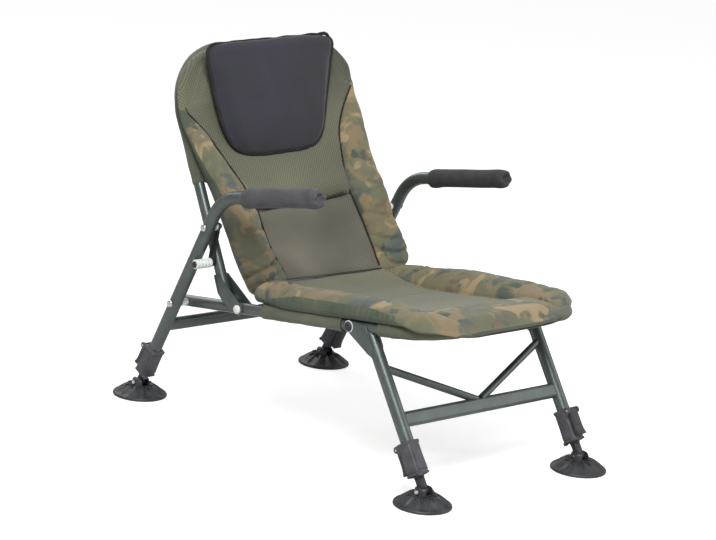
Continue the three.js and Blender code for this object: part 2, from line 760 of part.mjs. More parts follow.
// Lower leg: clamp block, lever, telescopic inner leg and mud foot, built once for each leg.
// It is drawn with z up the leg and its origin at the centre of the foot's pin.
function clampHousing(sign, low) {
  const half = clamp_side / 2;
  const reach = half - clamp_corner;
  const section = new THREE.Shape();
  section.absarc(reach, reach, clamp_corner, 0, Math.PI / 2, false);
  section.absarc(-reach, reach, clamp_corner, Math.PI / 2, Math.PI, false);
  section.absarc(-reach, -reach, clamp_corner, Math.PI, 1.5 * Math.PI, false);
  section.absarc(reach, -reach, clamp_corner, 1.5 * Math.PI, 2 * Math.PI, false);
  section.closePath();
  const block = new THREE.ExtrudeGeometry(section, {
    depth: clamp_length,
    bevelEnabled: false,
    curveSegments: 1,
  });
  block.translate(0, 0, low);
  const seat_bore = new THREE.CylinderGeometry(
    leg_radius + fit_gap,
    leg_radius + fit_gap,
    clamp_tube_seat + overrun,
    round_sides,
  );
  seat_bore.rotateX(Math.PI / 2);
  seat_bore.translate(0, 0, low + clamp_length - (clamp_tube_seat - overrun) / 2 - fit_gap);
  const leg_bore = new THREE.CylinderGeometry(
    inner_leg_radius + fit_gap,
    inner_leg_radius + fit_gap,
    clamp_length * 2,
    round_sides,
  );
  leg_bore.rotateX(Math.PI / 2);
  leg_bore.translate(0, 0, low + clamp_length / 2);
  const ear_x = lever_width / 2 + fit_gap;
  const ear_depth = 2 * lever_thickness;
  const ear_shape = stadium(ear_depth, ear_depth + lever_lift, sign * half, leverPivot(low));
  const ears = [-1, 1].map((out) => {
    const ends = [out * ear_x, out * (half - clamp_corner / 2)].sort((a, b) => a - b);
    return prismX(ear_shape, ...ends);
  });
  const pin_hole = barX(
    lever_pin_radius + hole_gap,
    -clamp_side,
    clamp_side,
    sign * leverPivotReach(),
    leverPivot(low),
  );
  return cut(join([block, ...ears]), [seat_bore, leg_bore, pin_hole]);
}

function leverPivot(low) {
  return low + clamp_length - lever_thickness;
}

function leverPivotReach() {
  return clamp_side / 2 + fit_gap + lever_thickness / 2;
}

function clampLever(sign, low) {
  const half = lever_thickness / 2;
  const top = leverPivot(low);
  const y = sign * leverPivotReach();
  const shape = new THREE.Shape();
  shape.absarc(y, top, half, 0, Math.PI, false);
  shape.lineTo(y - half, top - lever_length + half);
  shape.absarc(y, top - lever_length + half, half, Math.PI, 1.5 * Math.PI, false);
  shape.lineTo(y + sign * lever_lift + half, top - lever_length);
  shape.lineTo(y + half, top - lever_length + lever_lift * 3);
  shape.closePath();
  const blade = prismX(shape, -lever_width / 2, lever_width / 2);
  const pin_reach = clamp_side / 2 - clamp_corner / 2;
  return join([blade, barX(lever_pin_radius, -pin_reach, pin_reach, y, top, small_sides / 2)]);
}

function innerLeg(neck_top) {
  const profile = [[0, neck_height], [inner_leg_radius, neck_height]];
  for (let i = 0; i < notch_count; i += 1) {
    const notch_low = neck_top + clamp_length / 2 + i * notch_pitch;
    profile.push(
      [inner_leg_radius, notch_low],
      [inner_leg_radius - notch_depth, notch_low],
      [inner_leg_radius - notch_depth, notch_low + notch_width],
      [inner_leg_radius, notch_low + notch_width],
    );
  }
  profile.push([inner_leg_radius, inner_leg_reach], [0, inner_leg_reach]);
  const rod = turned(profile, small_sides);
  const neck = new THREE.BoxGeometry(eye_width, neck_depth, neck_height + overrun);
  neck.translate(0, 0, (neck_height + overrun) / 2);
  const eye = barX(eye_radius, -eye_width / 2, eye_width / 2, 0, 0);
  const pin_hole = barX(foot_pin_radius + hole_gap, -eye_width, eye_width, 0, 0);
  return cut(join([rod, neck, eye]), [pin_hole]);
}

// Mud foot: a ribbed dish with windows and a forked hub, drawn upright with its origin at the pin
function mudFoot() {
  const ground = -foot_ball_height;
  const shoulder = ground + foot_dome_height;
  const hub_top = hub_height - foot_ball_height;
  const dish = turned([
    [0, shoulder - foot_skin],
    [hub_radius, shoulder - foot_skin],
    [foot_inner_knee_radius, ground + foot_dome_height / 2],
    [foot_radius - foot_rim_width, ground + foot_skin / 2],
    [foot_radius - foot_rim_width, ground],
    [foot_radius, ground],
    [foot_radius, ground + foot_rim_height],
    [foot_knee_radius, shoulder - foot_skin / 2],
    [foot_shoulder_radius, shoulder + foot_skin],
    [hub_radius, shoulder + 2 * foot_skin],
    [hub_radius, hub_top - foot_skin],
    [hub_radius - foot_skin, hub_top],
    [0, hub_top],
  ], dish_sides);
  const slot = new THREE.BoxGeometry(ear_gap, foot_radius, hub_height);
  slot.translate(0, 0, hub_height / 2 - eye_radius - 2 * fit_gap);
  const cutters = [slot, barX(foot_pin_radius + hole_gap, -foot_radius, foot_radius, 0, 0)];
  for (let i = 0; i < foot_windows; i += 1) {
    const opening = new THREE.BoxGeometry(foot_window_length, foot_window_width, foot_ball_height);
    opening.translate(foot_window_radius, 0, ground + foot_ball_height / 3);
    opening.rotateZ((i + 0.5) * 2 * Math.PI / foot_windows);
    cutters.push(opening);
  }
  return cut(dish, cutters);
}

const legs = [
  ['front', front_group, rail_x, -front_leg_offset, front_ball_drop, front_clamp_above_ball, front_leg_lean],
  ['rear', rear_group, leg_x, 0, rear_ball_drop, rear_clamp_above_ball, -rear_leg_lean],
];
for (const [end, leg_group, x, y, drop, clamp_low, upright_turn] of legs) {
  for (const [side, sign] of bothSides) {
    const lower_leg = new THREE.Group();
    lower_leg.position.set(sign * x, y, -drop);
    leg_group.add(lower_leg);
    const lever_side = -sign;
    addPiece(lower_leg, `clamp_${end}_${side}`, clampHousing(lever_side, clamp_low), clamp_plastic);
    addPiece(lower_leg, `clamp_lever_${end}_${side}`, clampLever(lever_side, clamp_low), clamp_plastic);
    addPiece(lower_leg, `inner_leg_${end}_${side}`, innerLeg(clamp_low), black_steel);

    const foot_group = new THREE.Group();
    foot_group.rotation.x = upright_turn;
    lower_leg.add(foot_group);
    addPiece(foot_group, `mud_foot_${end}_${side}`, mudFoot(), foot_plastic);
    const head_face = sign * (hub_radius + fit_gap);
    const pin_ends = [head_face + sign * fit_gap, -sign * hub_radius].sort((a, b) => a - b);
    const pin = barX(foot_pin_radius, ...pin_ends, 0, 0);
    const head_ends = [head_face, head_face + sign * foot_pin_head_height].sort((a, b) => a - b);
    const head = barX(foot_pin_head_radius, ...head_ends, 0, 0);
    addPiece(foot_group, `foot_pin_${end}_${side}`, join([pin, head]), bright_steel);
  }
}

// Seat cover: a sheet stretched over the rails, with a sleeve round each rail
const sleeve_inner = rail_radius + fit_gap;
const sleeve_outer = sleeve_inner + cloth;

// The outline of a stretched sheet: square at its foot, with the frame's own corners at its head
function sheetShape(half_width, foot, head, corner) {
  const shape = new THREE.Shape();
  shape.moveTo(-half_width, foot);
  shape.lineTo(half_width, foot);
  shape.absarc(half_width - corner, head - corner, corner, 0, Math.PI / 2, false);
  shape.absarc(corner - half_width, head - corner, corner, Math.PI / 2, Math.PI, false);
  shape.closePath();
  return shape;
}

// A sleeve round a tube along Z, from low to high
function sleeve(outer, inner, low, high) {
  return turned([[inner, low], [outer, low], [outer, high], [inner, high], [inner, low]]);
}

const seat_sheet = new THREE.ExtrudeGeometry(
  sheetShape(rail_x, sling_start, -seat_front_along, seat_corner_radius),
  { depth: cloth, bevelEnabled: false, curveSegments: 3 },
);
seat_sheet.translate(0, 0, sleeve_inner);
seat_sheet.rotateZ(Math.PI);
const seat_sleeves = [];
for (const sign of [-1, 1]) {
  const front_end = -seat_front_along - seat_corner_radius;
  const spans = [[sleeve_rear_start, sleeve_rear_end], [sleeve_front_start, front_end]];
  for (const [low, high] of spans) {
    const tube = sleeve(sleeve_outer, sleeve_inner, low, high);
    tube.rotateX(Math.PI / 2);
    tube.translate(sign * rail_x, 0, 0);
    seat_sleeves.push(tube);
  }
}
addPiece(seat_group, 'seat_sling', join([seat_sheet, ...seat_sleeves]), sling_cloth);

// How far the back cover sags behind the tubes, at a height up the back and a place across it
const sag_top = back_top_height;
function backSag(x, height) {
  const up = THREE.MathUtils.clamp((height - back_sling_start) / (sag_top - back_sling_start), 0, 1);
  const across = THREE.MathUtils.clamp(x / rail_x, -1, 1);
  return back_sling_sag * Math.sin(Math.PI * up) ** 2 * (1 - across ** 2) ** 3;
}

// Closed skin between two surfaces over one grid: place(row, column, face) gives each corner.
// Face 0 is the underside or rear, face 1 the side the sitter meets.
function closedSkin(rows, columns, place) {
  const positions = [];
  const index = [];
  const at = (face, row, column) => (face * (rows + 1) + row) * (columns + 1) + column;
  for (const face of [0, 1]) {
    for (let row = 0; row <= rows; row += 1) {
      for (let column = 0; column <= columns; column += 1) {
        positions.push(...place(row, column, face));
      }
    }
  }
  const quad = (a, b, c, d) => index.push(a, b, c, a, c, d);
  for (let row = 0; row < rows; row += 1) {
    for (let column = 0; column < columns; column += 1) {
      quad(at(0, row, column), at(0, row + 1, column), at(0, row + 1, column + 1), at(0, row, column + 1));
      quad(at(1, row, column), at(1, row, column + 1), at(1, row + 1, column + 1), at(1, row + 1, column));
    }
  }
  for (let row = 0; row < rows; row += 1) {
    quad(at(0, row, 0), at(1, row, 0), at(1, row + 1, 0), at(0, row + 1, 0));
    quad(at(0, row, columns), at(0, row + 1, columns), at(1, row + 1, columns), at(1, row, columns));
  }
  for (let column = 0; column < columns; column += 1) {
    quad(at(0, 0, column), at(0, 0, column + 1), at(1, 0, column + 1), at(1, 0, column));
    quad(at(0, rows, column), at(1, rows, column), at(1, rows, column + 1), at(0, rows, column + 1));
  }
  const geometry = new THREE.BufferGeometry();
  geometry.setAttribute('position', new THREE.Float32BufferAttribute(positions, 3));
  geometry.setIndex(index);
  return geometry;
}

// Half the width of a panel at a height, drawn in with the round corners of the frame's head
function headHalfWidth(half_width, head, corner, height) {
  const into = THREE.MathUtils.clamp(height - (head - corner), 0, corner);
  return half_width - corner + Math.sqrt(corner ** 2 - into ** 2);
}

const back_sleeve_inner = back_tube_radius + fit_gap;
const back_sleeve_outer = back_sleeve_inner + cloth;
const back_sheet_front = back_tube_offset - back_sleeve_outer;
const back_sheet = closedSkin(sheet_rows, sheet_columns, (row, column, face) => {
  const height = back_sling_start + (row / sheet_rows) * (back_top_height - back_sling_start);
  const across = 2 * column / sheet_columns - 1;
  const x = across * headHalfWidth(rail_x, back_top_height, back_corner_radius, height);
  return [x, back_sheet_front + backSag(x, height) + (1 - face) * cloth, height];
});
const back_sleeve_path = new BentPath([
  new THREE.Vector3(-rail_x, back_tube_offset, back_sleeve_start),
  new THREE.Vector3(-rail_x, back_tube_offset, back_top_height),
  new THREE.Vector3(rail_x, back_tube_offset, back_top_height),
  new THREE.Vector3(rail_x, back_tube_offset, back_sleeve_start),
], back_corner_radius, bend_steps);
const back_sleeve = tubeAlong(back_sleeve_path, back_sleeve_outer, back_sleeve_inner);
addPiece(back_group, 'back_sling', join([back_sheet, back_sleeve]), sling_cloth);

// Seat cushion: a thin middle panel between two side rolls, its front roll drawn down over the front bar
const seat_pad_base = sleeve_outer + fit_gap;
const seat_pad_end = seat_stations[seat_stations.length - 1][0];
const front_bar_edge = -seat_front_along + sleeve_outer + seat_front_margin;
const seat_pad_rows = seat_stations.length - 1;
const pad_middle = roll_insets.length;

function seatPadHalfWidth(along) {
  const spread = THREE.MathUtils.smoothstep(along, seat_stations[0][0], seat_pad_waist_end);
  const waist = seat_pad_waist + spread * (seat_pad_half_width - seat_pad_waist);
  return waist + headHalfWidth(0, seat_pad_end + seat_corner_margin, pad_corner_radius, along);
}

const seat_pad = closedSkin(seat_pad_rows, 2 * pad_middle, (row, column, face) => {
  const [along, crest, seam, middle] = seat_stations[row];
  const sign = Math.sign(pad_middle - column);
  const inward = pad_middle - Math.abs(column - pad_middle);
  const roll = THREE.MathUtils.smoothstep(along, front_bar_edge, seat_pad_end);
  const bottom = seat_pad_base - roll * seat_front_drop;
  if (inward === pad_middle) {
    const fold = row === 0 && face === 1 ? seat_fold_along : along;
    return [0, -fold, face === 1 ? middle : bottom];
  }
  const x = sign * (seatPadHalfWidth(along) - roll_insets[inward]);
  const foot = inward <= crest_column ? bottom : seam;
  const top = foot + roll_top_shares[inward] * (crest - foot);
  const under = bottom + roll_foot_shares[inward] * (crest - bottom);
  const fold_along = inward <= crest_column ? seat_fold_crest_along : seat_fold_along;
  return [x, -(row === 0 && face === 1 ? fold_along : along), face === 1 ? top : under];
});
addPiece(seat_group, 'seat_pad', seat_pad, cover_cloth);

// Back cushion: it lies in the sag of the cover, thick at the lumbar fold, with bolsters that fade upwards
const back_pad_rows = back_stations.length - 1;
const back_pad = closedSkin(back_pad_rows, 2 * pad_middle, (row, column, face) => {
  const [height, half_width, crest_x, crest, seam_x, seam, middle] = back_stations[row];
  const sign = Math.sign(column - pad_middle);
  const inward = pad_middle - Math.abs(column - pad_middle);
  const rear_edge = back_sheet_front - cushion_gap;
  const [, , , lowest_crest] = back_stations[0];
  const bulge = bolster_bulge * (rear_edge - crest) / (rear_edge - lowest_crest);
  const columns = [
    [half_width, rear_edge + (crest - rear_edge) * roll_foot_shares[0]],
    [half_width + bulge, rear_edge + (crest - rear_edge) * bolster_bulge_share],
    [(half_width + bulge + crest_x) / 2, rear_edge + (crest - rear_edge) * bolster_shoulder_share],
    [crest_x - bulge, crest],
    [(crest_x - bulge + seam_x) / 2, seam + (crest - seam) * bolster_shoulder_share],
    [seam_x, seam],
    [0, middle],
  ];
  const [x, front] = columns[inward];
  if (face === 1) {
    return [sign * x, front, height];
  }
  const foot = row === 0 ? back_pad_foot : height;
  const rear_x = Math.min(x, half_width);
  return [sign * rear_x, rear_edge + backSag(rear_x, height), foot];
});
addPiece(back_group, 'back_pad', back_pad, cover_cloth);

// Head pillow: narrower at its foot, lying on the middle panel of the back cushion
const pillow_rows = pillow_stations.length - 1;
function backPadMiddle(height) {
  const above = back_stations.findIndex(([station]) => station > height);
  const [low_height, , , , , , low_middle] = back_stations[above - 1];
  const [high_height, , , , , , high_middle] = back_stations[above];
  const share = (height - low_height) / (high_height - low_height);
  return low_middle + share * (high_middle - low_middle);
}

const pillow = closedSkin(pillow_rows, pillow_columns, (row, column, face) => {
  const [height, half_width, edge] = pillow_stations[row];
  const across = -Math.cos(Math.PI * column / pillow_columns);
  const rest = backPadMiddle(height) - 2 * cushion_gap;
  const ends = 1 - Math.abs(2 * row / pillow_rows - 1) ** 8;
  const full = Math.sqrt(Math.max(0, ends * (1 - across ** 6)));
  const depth = face === 1
    ? edge - pillow_bulge * full
    : Math.min(rest, edge + pillow_rim + (rest - edge) * full);
  return [across * half_width, depth, height];
});
addPiece(back_group, 'head_pillow', pillow, pillow_cloth);

export default chair;
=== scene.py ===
# A low folding fishing chair: steel tube frame, foam armrests, camouflage padded cover,
# head pillow and four swivelling mud feet. Metres, +Z up, the sitter faces -Y.
import math

import bpy
from mathutils import Matrix, Vector, noise


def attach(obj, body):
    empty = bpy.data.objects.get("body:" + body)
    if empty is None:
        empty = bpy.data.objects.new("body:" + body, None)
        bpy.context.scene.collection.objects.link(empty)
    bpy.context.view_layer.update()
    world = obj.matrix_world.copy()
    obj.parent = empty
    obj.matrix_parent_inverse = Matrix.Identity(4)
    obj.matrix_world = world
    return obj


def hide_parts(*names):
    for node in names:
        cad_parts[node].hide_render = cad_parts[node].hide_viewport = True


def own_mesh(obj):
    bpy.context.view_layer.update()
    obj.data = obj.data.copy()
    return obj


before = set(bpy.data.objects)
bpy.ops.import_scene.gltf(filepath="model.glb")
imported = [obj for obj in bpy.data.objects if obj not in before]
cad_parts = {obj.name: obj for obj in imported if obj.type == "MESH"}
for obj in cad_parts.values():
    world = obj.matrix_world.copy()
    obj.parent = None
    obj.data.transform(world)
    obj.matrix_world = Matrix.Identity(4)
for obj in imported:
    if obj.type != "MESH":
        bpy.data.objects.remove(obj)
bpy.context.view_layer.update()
bpy.ops.object.select_all(action="DESELECT")

# ---------------------------------------------------------------- Camera
# A long lens a little above the seat, on the chair's front right. The picture is
# turned about five degrees clockwise, as the photograph is.
camera_place = Vector((-3.64874, -3.66369, 1.61737))
camera_back = Vector((-0.680278, -0.693424, 0.237455)).normalized()
camera_azimuth = math.radians(-44.4517)
camera_roll = 0.0922
level = Vector((math.cos(camera_azimuth), math.sin(camera_azimuth), 0))
upward = camera_back.cross(level)
camera_x = math.cos(camera_roll) * level + math.sin(camera_roll) * upward
camera_y = math.cos(camera_roll) * upward - math.sin(camera_roll) * level
camera_data = bpy.data.cameras.new("camera")
camera_data.sensor_width = 36
camera_data.lens = 125.38
camera_data.clip_end = 200
camera = bpy.data.objects.new("camera", camera_data)
bpy.context.scene.collection.objects.link(camera)
turn = Matrix((camera_x, camera_y, camera_back)).transposed().to_4x4()
camera.matrix_world = Matrix.Translation(camera_place) @ turn
bpy.context.scene.camera = camera
bpy.context.scene.view_settings.view_transform = "Standard"

# ---------------------------------------------------------------- Studio
# A white floor that keeps the chair's soft shadow, and a white surround.
# One large soft lamp stands to the left, above the camera.
bpy.ops.mesh.primitive_plane_add(size=80, location=(0, 0, -0.0005))
floor = bpy.context.object
floor.name = "studio_floor"
floor_paint = bpy.data.materials.new("studio_white")
floor_paint.use_nodes = True
floor_nodes = floor_paint.node_tree
floor_shader = floor_nodes.nodes["Principled BSDF"]
floor_shader.inputs["Base Color"].default_value = (0.66, 0.66, 0.66, 1)
floor_shader.inputs["Roughness"].default_value = 1.0
floor_shader.inputs["Specular IOR Level"].default_value = 0.0
floor_rays = floor_nodes.nodes.new("ShaderNodeLightPath")
floor_glow = floor_nodes.nodes.new("ShaderNodeEmission")
floor_glow.inputs["Strength"].default_value = 0.65
floor_dark = floor_nodes.nodes.new("ShaderNodeEmission")
floor_dark.inputs["Strength"].default_value = 0.0
floor_seen = floor_nodes.nodes.new("ShaderNodeMixShader")
floor_sum = floor_nodes.nodes.new("ShaderNodeAddShader")
floor_nodes.links.new(floor_rays.outputs["Is Camera Ray"], floor_seen.inputs["Fac"])
floor_nodes.links.new(floor_dark.outputs["Emission"], floor_seen.inputs[1])
floor_nodes.links.new(floor_glow.outputs["Emission"], floor_seen.inputs[2])
floor_nodes.links.new(floor_shader.outputs["BSDF"], floor_sum.inputs[0])
floor_nodes.links.new(floor_seen.outputs["Shader"], floor_sum.inputs[1])
floor_nodes.links.new(floor_sum.outputs["Shader"], floor_nodes.nodes["Material Output"].inputs["Surface"])
floor.data.materials.append(floor_paint)
world = bpy.data.worlds.new("studio_surround")
world.use_nodes = True
bpy.context.scene.world = world
sky = world.node_tree.nodes["Background"]
sky.inputs["Color"].default_value = (1, 1, 1, 1)
sky.inputs["Strength"].default_value = 0.46
seen_sky = world.node_tree.nodes.new("ShaderNodeBackground")
seen_sky.inputs["Color"].default_value = (1, 1, 1, 1)
seen_sky.inputs["Strength"].default_value = 1.0
rays = world.node_tree.nodes.new("ShaderNodeLightPath")
choose = world.node_tree.nodes.new("ShaderNodeMixShader")
world.node_tree.links.new(rays.outputs["Is Camera Ray"], choose.inputs["Fac"])
world.node_tree.links.new(sky.outputs["Background"], choose.inputs[1])
world.node_tree.links.new(seen_sky.outputs["Background"], choose.inputs[2])
world.node_tree.links.new(choose.outputs["Shader"], world.node_tree.nodes["World Output"].inputs["Surface"])
lamps = [
    ("key_lamp", (-1.9, -2.0, 3.4), 1.5, 135),
    ("fill_lamp", (3.0, -2.4, 1.8), 2.6, 26),
    ("back_lamp", (0.6, 3.0, 2.6), 2.4, 40),
]
for name, place, size, power in lamps:
    bpy.ops.object.light_add(type="AREA", location=place)
    lamp = bpy.context.object
    lamp.name = name
    lamp.data.size = size
    lamp.data.energy = power
    lamp.rotation_euler = (Vector((0, 0, 0.35)) - Vector(place)).to_track_quat("-Z", "Y").to_euler()
bpy.ops.object.select_all(action="DESELECT")

# ---------------------------------------------------------------- Seat frame
# A steel tube bent to a U and powder coated in a dark metallic grey-green.
# Each tube is drawn as a ring, pulled along its runs and spun round its bends.
pivot = Vector((0, 0.155, 0.259))
seat_place = Matrix.Translation(pivot) @ Matrix.Rotation(math.radians(-8.5), 4, "X")
rail_x = 0.232
rail_radius = 0.0125


both_sides = (("right", -1), ("left", 1))


def node_of(material, kind, **values):
    made = material.node_tree.nodes.new(kind)
    for key, value in values.items():
        plain = key.replace("_", " ")
        if plain in made.inputs:
            made.inputs[plain].default_value = value
        else:
            setattr(made, key, value)
    return made


def noise_of(material, vector, scale, detail, **more):
    made = node_of(material, "ShaderNodeTexNoise", Scale=scale, Detail=detail, **more)
    material.node_tree.links.new(vector, made.inputs["Vector"])
    return made.outputs["Fac"]


def range_of(material, value, **ends):
    made = node_of(material, "ShaderNodeMapRange", **ends)
    material.node_tree.links.new(value, made.inputs["Value"])
    return made.outputs["Result"]


def ramp_of(material, value, *stops):
    made = node_of(material, "ShaderNodeValToRGB")
    for end, (position, colour) in zip(made.color_ramp.elements, stops):
        end.position = position
        end.color = (*colour, 1)
    material.node_tree.links.new(value, made.inputs["Fac"])
    return made.outputs["Color"]


def bump_of(material, height, strength, distance, under=None, **more):
    made = node_of(material, "ShaderNodeBump", Strength=strength, Distance=distance, **more)
    material.node_tree.links.new(height, made.inputs["Height"])
    if under is not None:
        material.node_tree.links.new(under, made.inputs["Normal"])
    return made.outputs["Normal"]


def new_finish(name, colour, roughness, metallic=0.0):
    material = bpy.data.materials.new(name)
    material.use_nodes = True
    shader = material.node_tree.nodes["Principled BSDF"]
    shader.inputs["Base Color"].default_value = (*colour, 1)
    shader.inputs["Roughness"].default_value = roughness
    shader.inputs["Metallic"].default_value = metallic
    return material, shader


def mottled(material, shader, colours, scale, roughness, bump, depth, detail=3.0):
    link = material.node_tree.links.new
    place = node_of(material, "ShaderNodeTexCoord").outputs["Object"]
    grain = noise_of(material, place, scale, detail)
    link(ramp_of(material, grain, (0.3, colours[0]), (0.7, colours[1])), shader.inputs["Base Color"])
    link(range_of(material, grain, To_Min=roughness[0], To_Max=roughness[1]), shader.inputs["Roughness"])
    fine = noise_of(material, place, scale * 14, 2.0)
    link(bump_of(material, fine, bump, depth), shader.inputs["Normal"])


frame_paint, shader = new_finish("frame_paint", (0.1, 0.12, 0.113), 0.34, 0.55)
shader.inputs["Coat Weight"].default_value = 0.25
shader.inputs["Coat Roughness"].default_value = 0.22
mottled(frame_paint, shader, ((0.085, 0.105, 0.098), (0.118, 0.142, 0.133)), 26, (0.28, 0.4), 0.12, 0.0003)


def start_ring(name, sides, radius, place=(0, 0, 0), turned_to=(0, 0, 0)):
    bpy.ops.mesh.primitive_circle_add(vertices=sides, radius=radius, location=place, rotation=turned_to)
    piece = bpy.context.object
    piece.name = name
    bpy.ops.object.transform_apply(location=True, rotation=True, scale=True)
    return piece


def edit_all():
    bpy.ops.object.mode_set(mode="EDIT")
    bpy.ops.mesh.select_mode(type="VERT")
    bpy.ops.mesh.select_all(action="SELECT")


def pull(move):
    bpy.ops.mesh.extrude_region_move(TRANSFORM_OT_translate={"value": move})


def close_up(gap=None):
    bpy.ops.mesh.select_all(action="SELECT")
    if gap:
        bpy.ops.mesh.remove_doubles(threshold=gap)
    bpy.ops.mesh.normals_make_consistent(inside=False)
    bpy.ops.object.mode_set(mode="OBJECT")


def change(piece, kind, **values):
    bpy.context.view_layer.objects.active = piece
    step = piece.modifiers.new("step", kind)
    for key, value in values.items():
        setattr(step, key, value)
    bpy.ops.object.modifier_apply(modifier="step")


def smooth_to(degrees):
    bpy.ops.object.shade_smooth_by_angle(angle=math.radians(degrees))


def bent_tube(name, corners, bend_radius, radius, sides=32):
    corners = [Vector(corner) for corner in corners]
    heading = (corners[1] - corners[0]).normalized()
    tube = start_ring(name, sides, radius, corners[0], heading.to_track_quat("Z", "Y").to_euler())
    edit_all()
    here = corners[0]
    for i in range(1, len(corners) - 1):
        after = (corners[i + 1] - corners[i]).normalized()
        angle = heading.angle(after)
        axis = heading.cross(after).normalized()
        start = corners[i] - heading * bend_radius * math.tan(angle / 2)
        centre = start + axis.cross(heading) * bend_radius
        pull(start - here)
        bpy.ops.mesh.spin(steps=14, angle=-angle, center=centre, axis=axis)
        here = corners[i] + after * bend_radius * math.tan(angle / 2)
        heading = after
    pull(corners[-1] - here)
    close_up(0.00001)
    change(tube, "SOLIDIFY", thickness=0.0015, offset=-1)
    smooth_to(35)
    return tube


def choose(piece):
    bpy.ops.object.select_all(action="DESELECT")
    bpy.context.view_layer.objects.active = piece
    piece.select_set(True)


def finish_piece(piece, place, body, finishes, slot, *nodes):
    choose(piece)
    bpy.ops.object.transform_apply(location=True, rotation=True, scale=True)
    piece.data.transform(place)
    piece.data.update()
    for material in finishes if isinstance(finishes, tuple) else (finishes,):
        piece.data.materials.append(material)
    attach(piece, body)
    if nodes:
        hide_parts(*nodes)
    piece.select_set(False)


rail_rear = 0.191
rail_front = -0.552
seat_bend = 0.095
seat_tube = bent_tube("seat_tube", [
    (-rail_x, rail_rear, 0), (-rail_x, rail_front, 0), (rail_x, rail_front, 0), (rail_x, rail_rear, 0),
], seat_bend, rail_radius)
finish_piece(seat_tube, seat_place, "seat", frame_paint, "frame_paint", "seat_frame")

# ---------------------------------------------------------------- Rail end plugs
# Black moulded plugs pushed into the open rear ends of the seat rails.
# A disc with a domed, bevelled face.
black_plastic, shader = new_finish("black_plastic", (0.022, 0.023, 0.025), 0.5)
mottled(black_plastic, shader, ((0.018, 0.019, 0.021), (0.032, 0.033, 0.036)), 60, (0.42, 0.6), 0.2, 0.0003)


def turned(name, profile, place=(0, 0, 0), axis="Z", sides=32, smooth=40):
    rings = [(max(radius, 0.00001), height) for radius, height in profile]
    radius, height = rings[0]
    piece = start_ring(name, sides, radius, (0, 0, height))
    edit_all()
    for next_radius, next_height in rings[1:]:
        pull((0, 0, next_height - height))
        share = next_radius / radius
        bpy.ops.transform.resize(value=(share, share, 1), center_override=(0, 0, next_height))
        radius, height = next_radius, next_height
    close_up(0.00004)
    quarter = math.pi / 2
    about_y, about_x = {"Z": (0, 0), "X": (quarter, 0), "-X": (-quarter, 0), "Y": (0, -quarter)}[axis]
    turn_to = Matrix.Rotation(about_y, 4, "Y") @ Matrix.Rotation(about_x, 4, "X")
    piece.data.transform(Matrix.Translation(place) @ turn_to)
    smooth_to(smooth)
    return piece


plug_profile = [
    (0, -0.012), (0.0105, -0.012), (0.0105, 0.0002), (0.0125, 0.0003),
    (0.0123, 0.0018), (0.010, 0.003), (0, 0.0034),
]
for side, sign in both_sides:
    plug = turned(f"rail_plug_{side}", plug_profile, (sign * rail_x, rail_rear, 0), "Y")
    finish_piece(plug, seat_place, "seat", black_plastic, "black_steel")

# ---------------------------------------------------------------- Back frame
# The same tube bent to a tall inverted U. Two laser-cut plates a side are welded to
# its foot and hold it on the seat rail's pivot.
back_place = Matrix.Translation(pivot) @ Matrix.Rotation(math.radians(-28.1), 4, "X")
back_depth = 0.043
head_radius = 0.150
head_height = 0.588
back_tube = bent_tube("back_tube", [
    (-rail_x, back_depth, 0.037), (-rail_x, back_depth, head_height),
    (rail_x, back_depth, head_height), (rail_x, back_depth, 0.037),
], head_radius, 0.012)
finish_piece(back_tube, back_place, "back", frame_paint, "frame_paint", "backrest_frame")


def plate_outline(points, arc_radius, arc_from, arc_to, arc_at):
    angles = [math.radians(arc_from + (arc_to - arc_from) * i / 14) for i in range(15)]
    arc = [(arc_radius * math.cos(a), arc_radius * math.sin(a)) for a in angles]
    return points[:arc_at] + arc + points[arc_at:]


def flat_plate(name, outline, x_from, x_to, bevel=0.0006):
    plate = start_ring(name, len(outline), 0.01)
    for vertex, (y, z) in zip(plate.data.vertices, outline):
        vertex.co = (x_from, y, z)
    edit_all()
    bpy.ops.mesh.edge_face_add()
    pull((x_to - x_from, 0, 0))
    close_up()
    change(plate, "BEVEL", width=bevel, segments=2, limit_method="ANGLE", angle_limit=math.radians(50))
    smooth_to(40)
    return plate


def plate_pair(name, side, sign, outline):
    for where, out in (("outer", sign), ("inner", -sign)):
        ends = sorted(sign * rail_x + out * reach for reach in (0.0128, 0.0158))
        yield where, flat_plate(f"{name}_{where}_{side}", outline, *ends)


back_plate = plate_outline([
    (0.0502, 0.088), (0.0382, 0.088), (0.0262, 0.0686), (0.0418, 0.027), (0.0514, 0.049),
], 0.014, 155, 315, 3)
for side, sign in both_sides:
    for where, plate in plate_pair("pivot_plate", side, sign, back_plate):
        finish_piece(plate, back_place, "back", frame_paint, "frame_paint", f"back_plate_{where}_{side}")

# ---------------------------------------------------------------- Rear legs and arms
# One tube a side runs from the rear clamp up past the seat rail and bends forward
# into the armrest.
rear_pivot = Vector((0, 0.3261, 0.23343))
rear_place = Matrix.Translation(rear_pivot) @ Matrix.Rotation(math.radians(25.7), 4, "X")
leg_x = 0.276
leg_radius = 0.014
arm_corner_height = 0.2896
arm_run = 0.296
arm_turn = math.radians(52.5)


def arm_line(sign):
    """The bend at the top of the leg, and the front end of the arm"""
    rise = arm_corner_height + arm_run * math.cos(arm_turn)
    front = Vector((sign * (leg_x - 0.002), -arm_run * math.sin(arm_turn), rise))
    return Vector((sign * leg_x, 0, arm_corner_height)), front


for side, sign in both_sides:
    leg_line = [(sign * leg_x, 0, -0.1688), *arm_line(sign)]
    leg = bent_tube(f"rear_leg_tube_{side}", leg_line, 0.100, leg_radius)
    finish_piece(leg, rear_place, "rear_legs", frame_paint, "frame_paint", f"rear_leg_{side}")

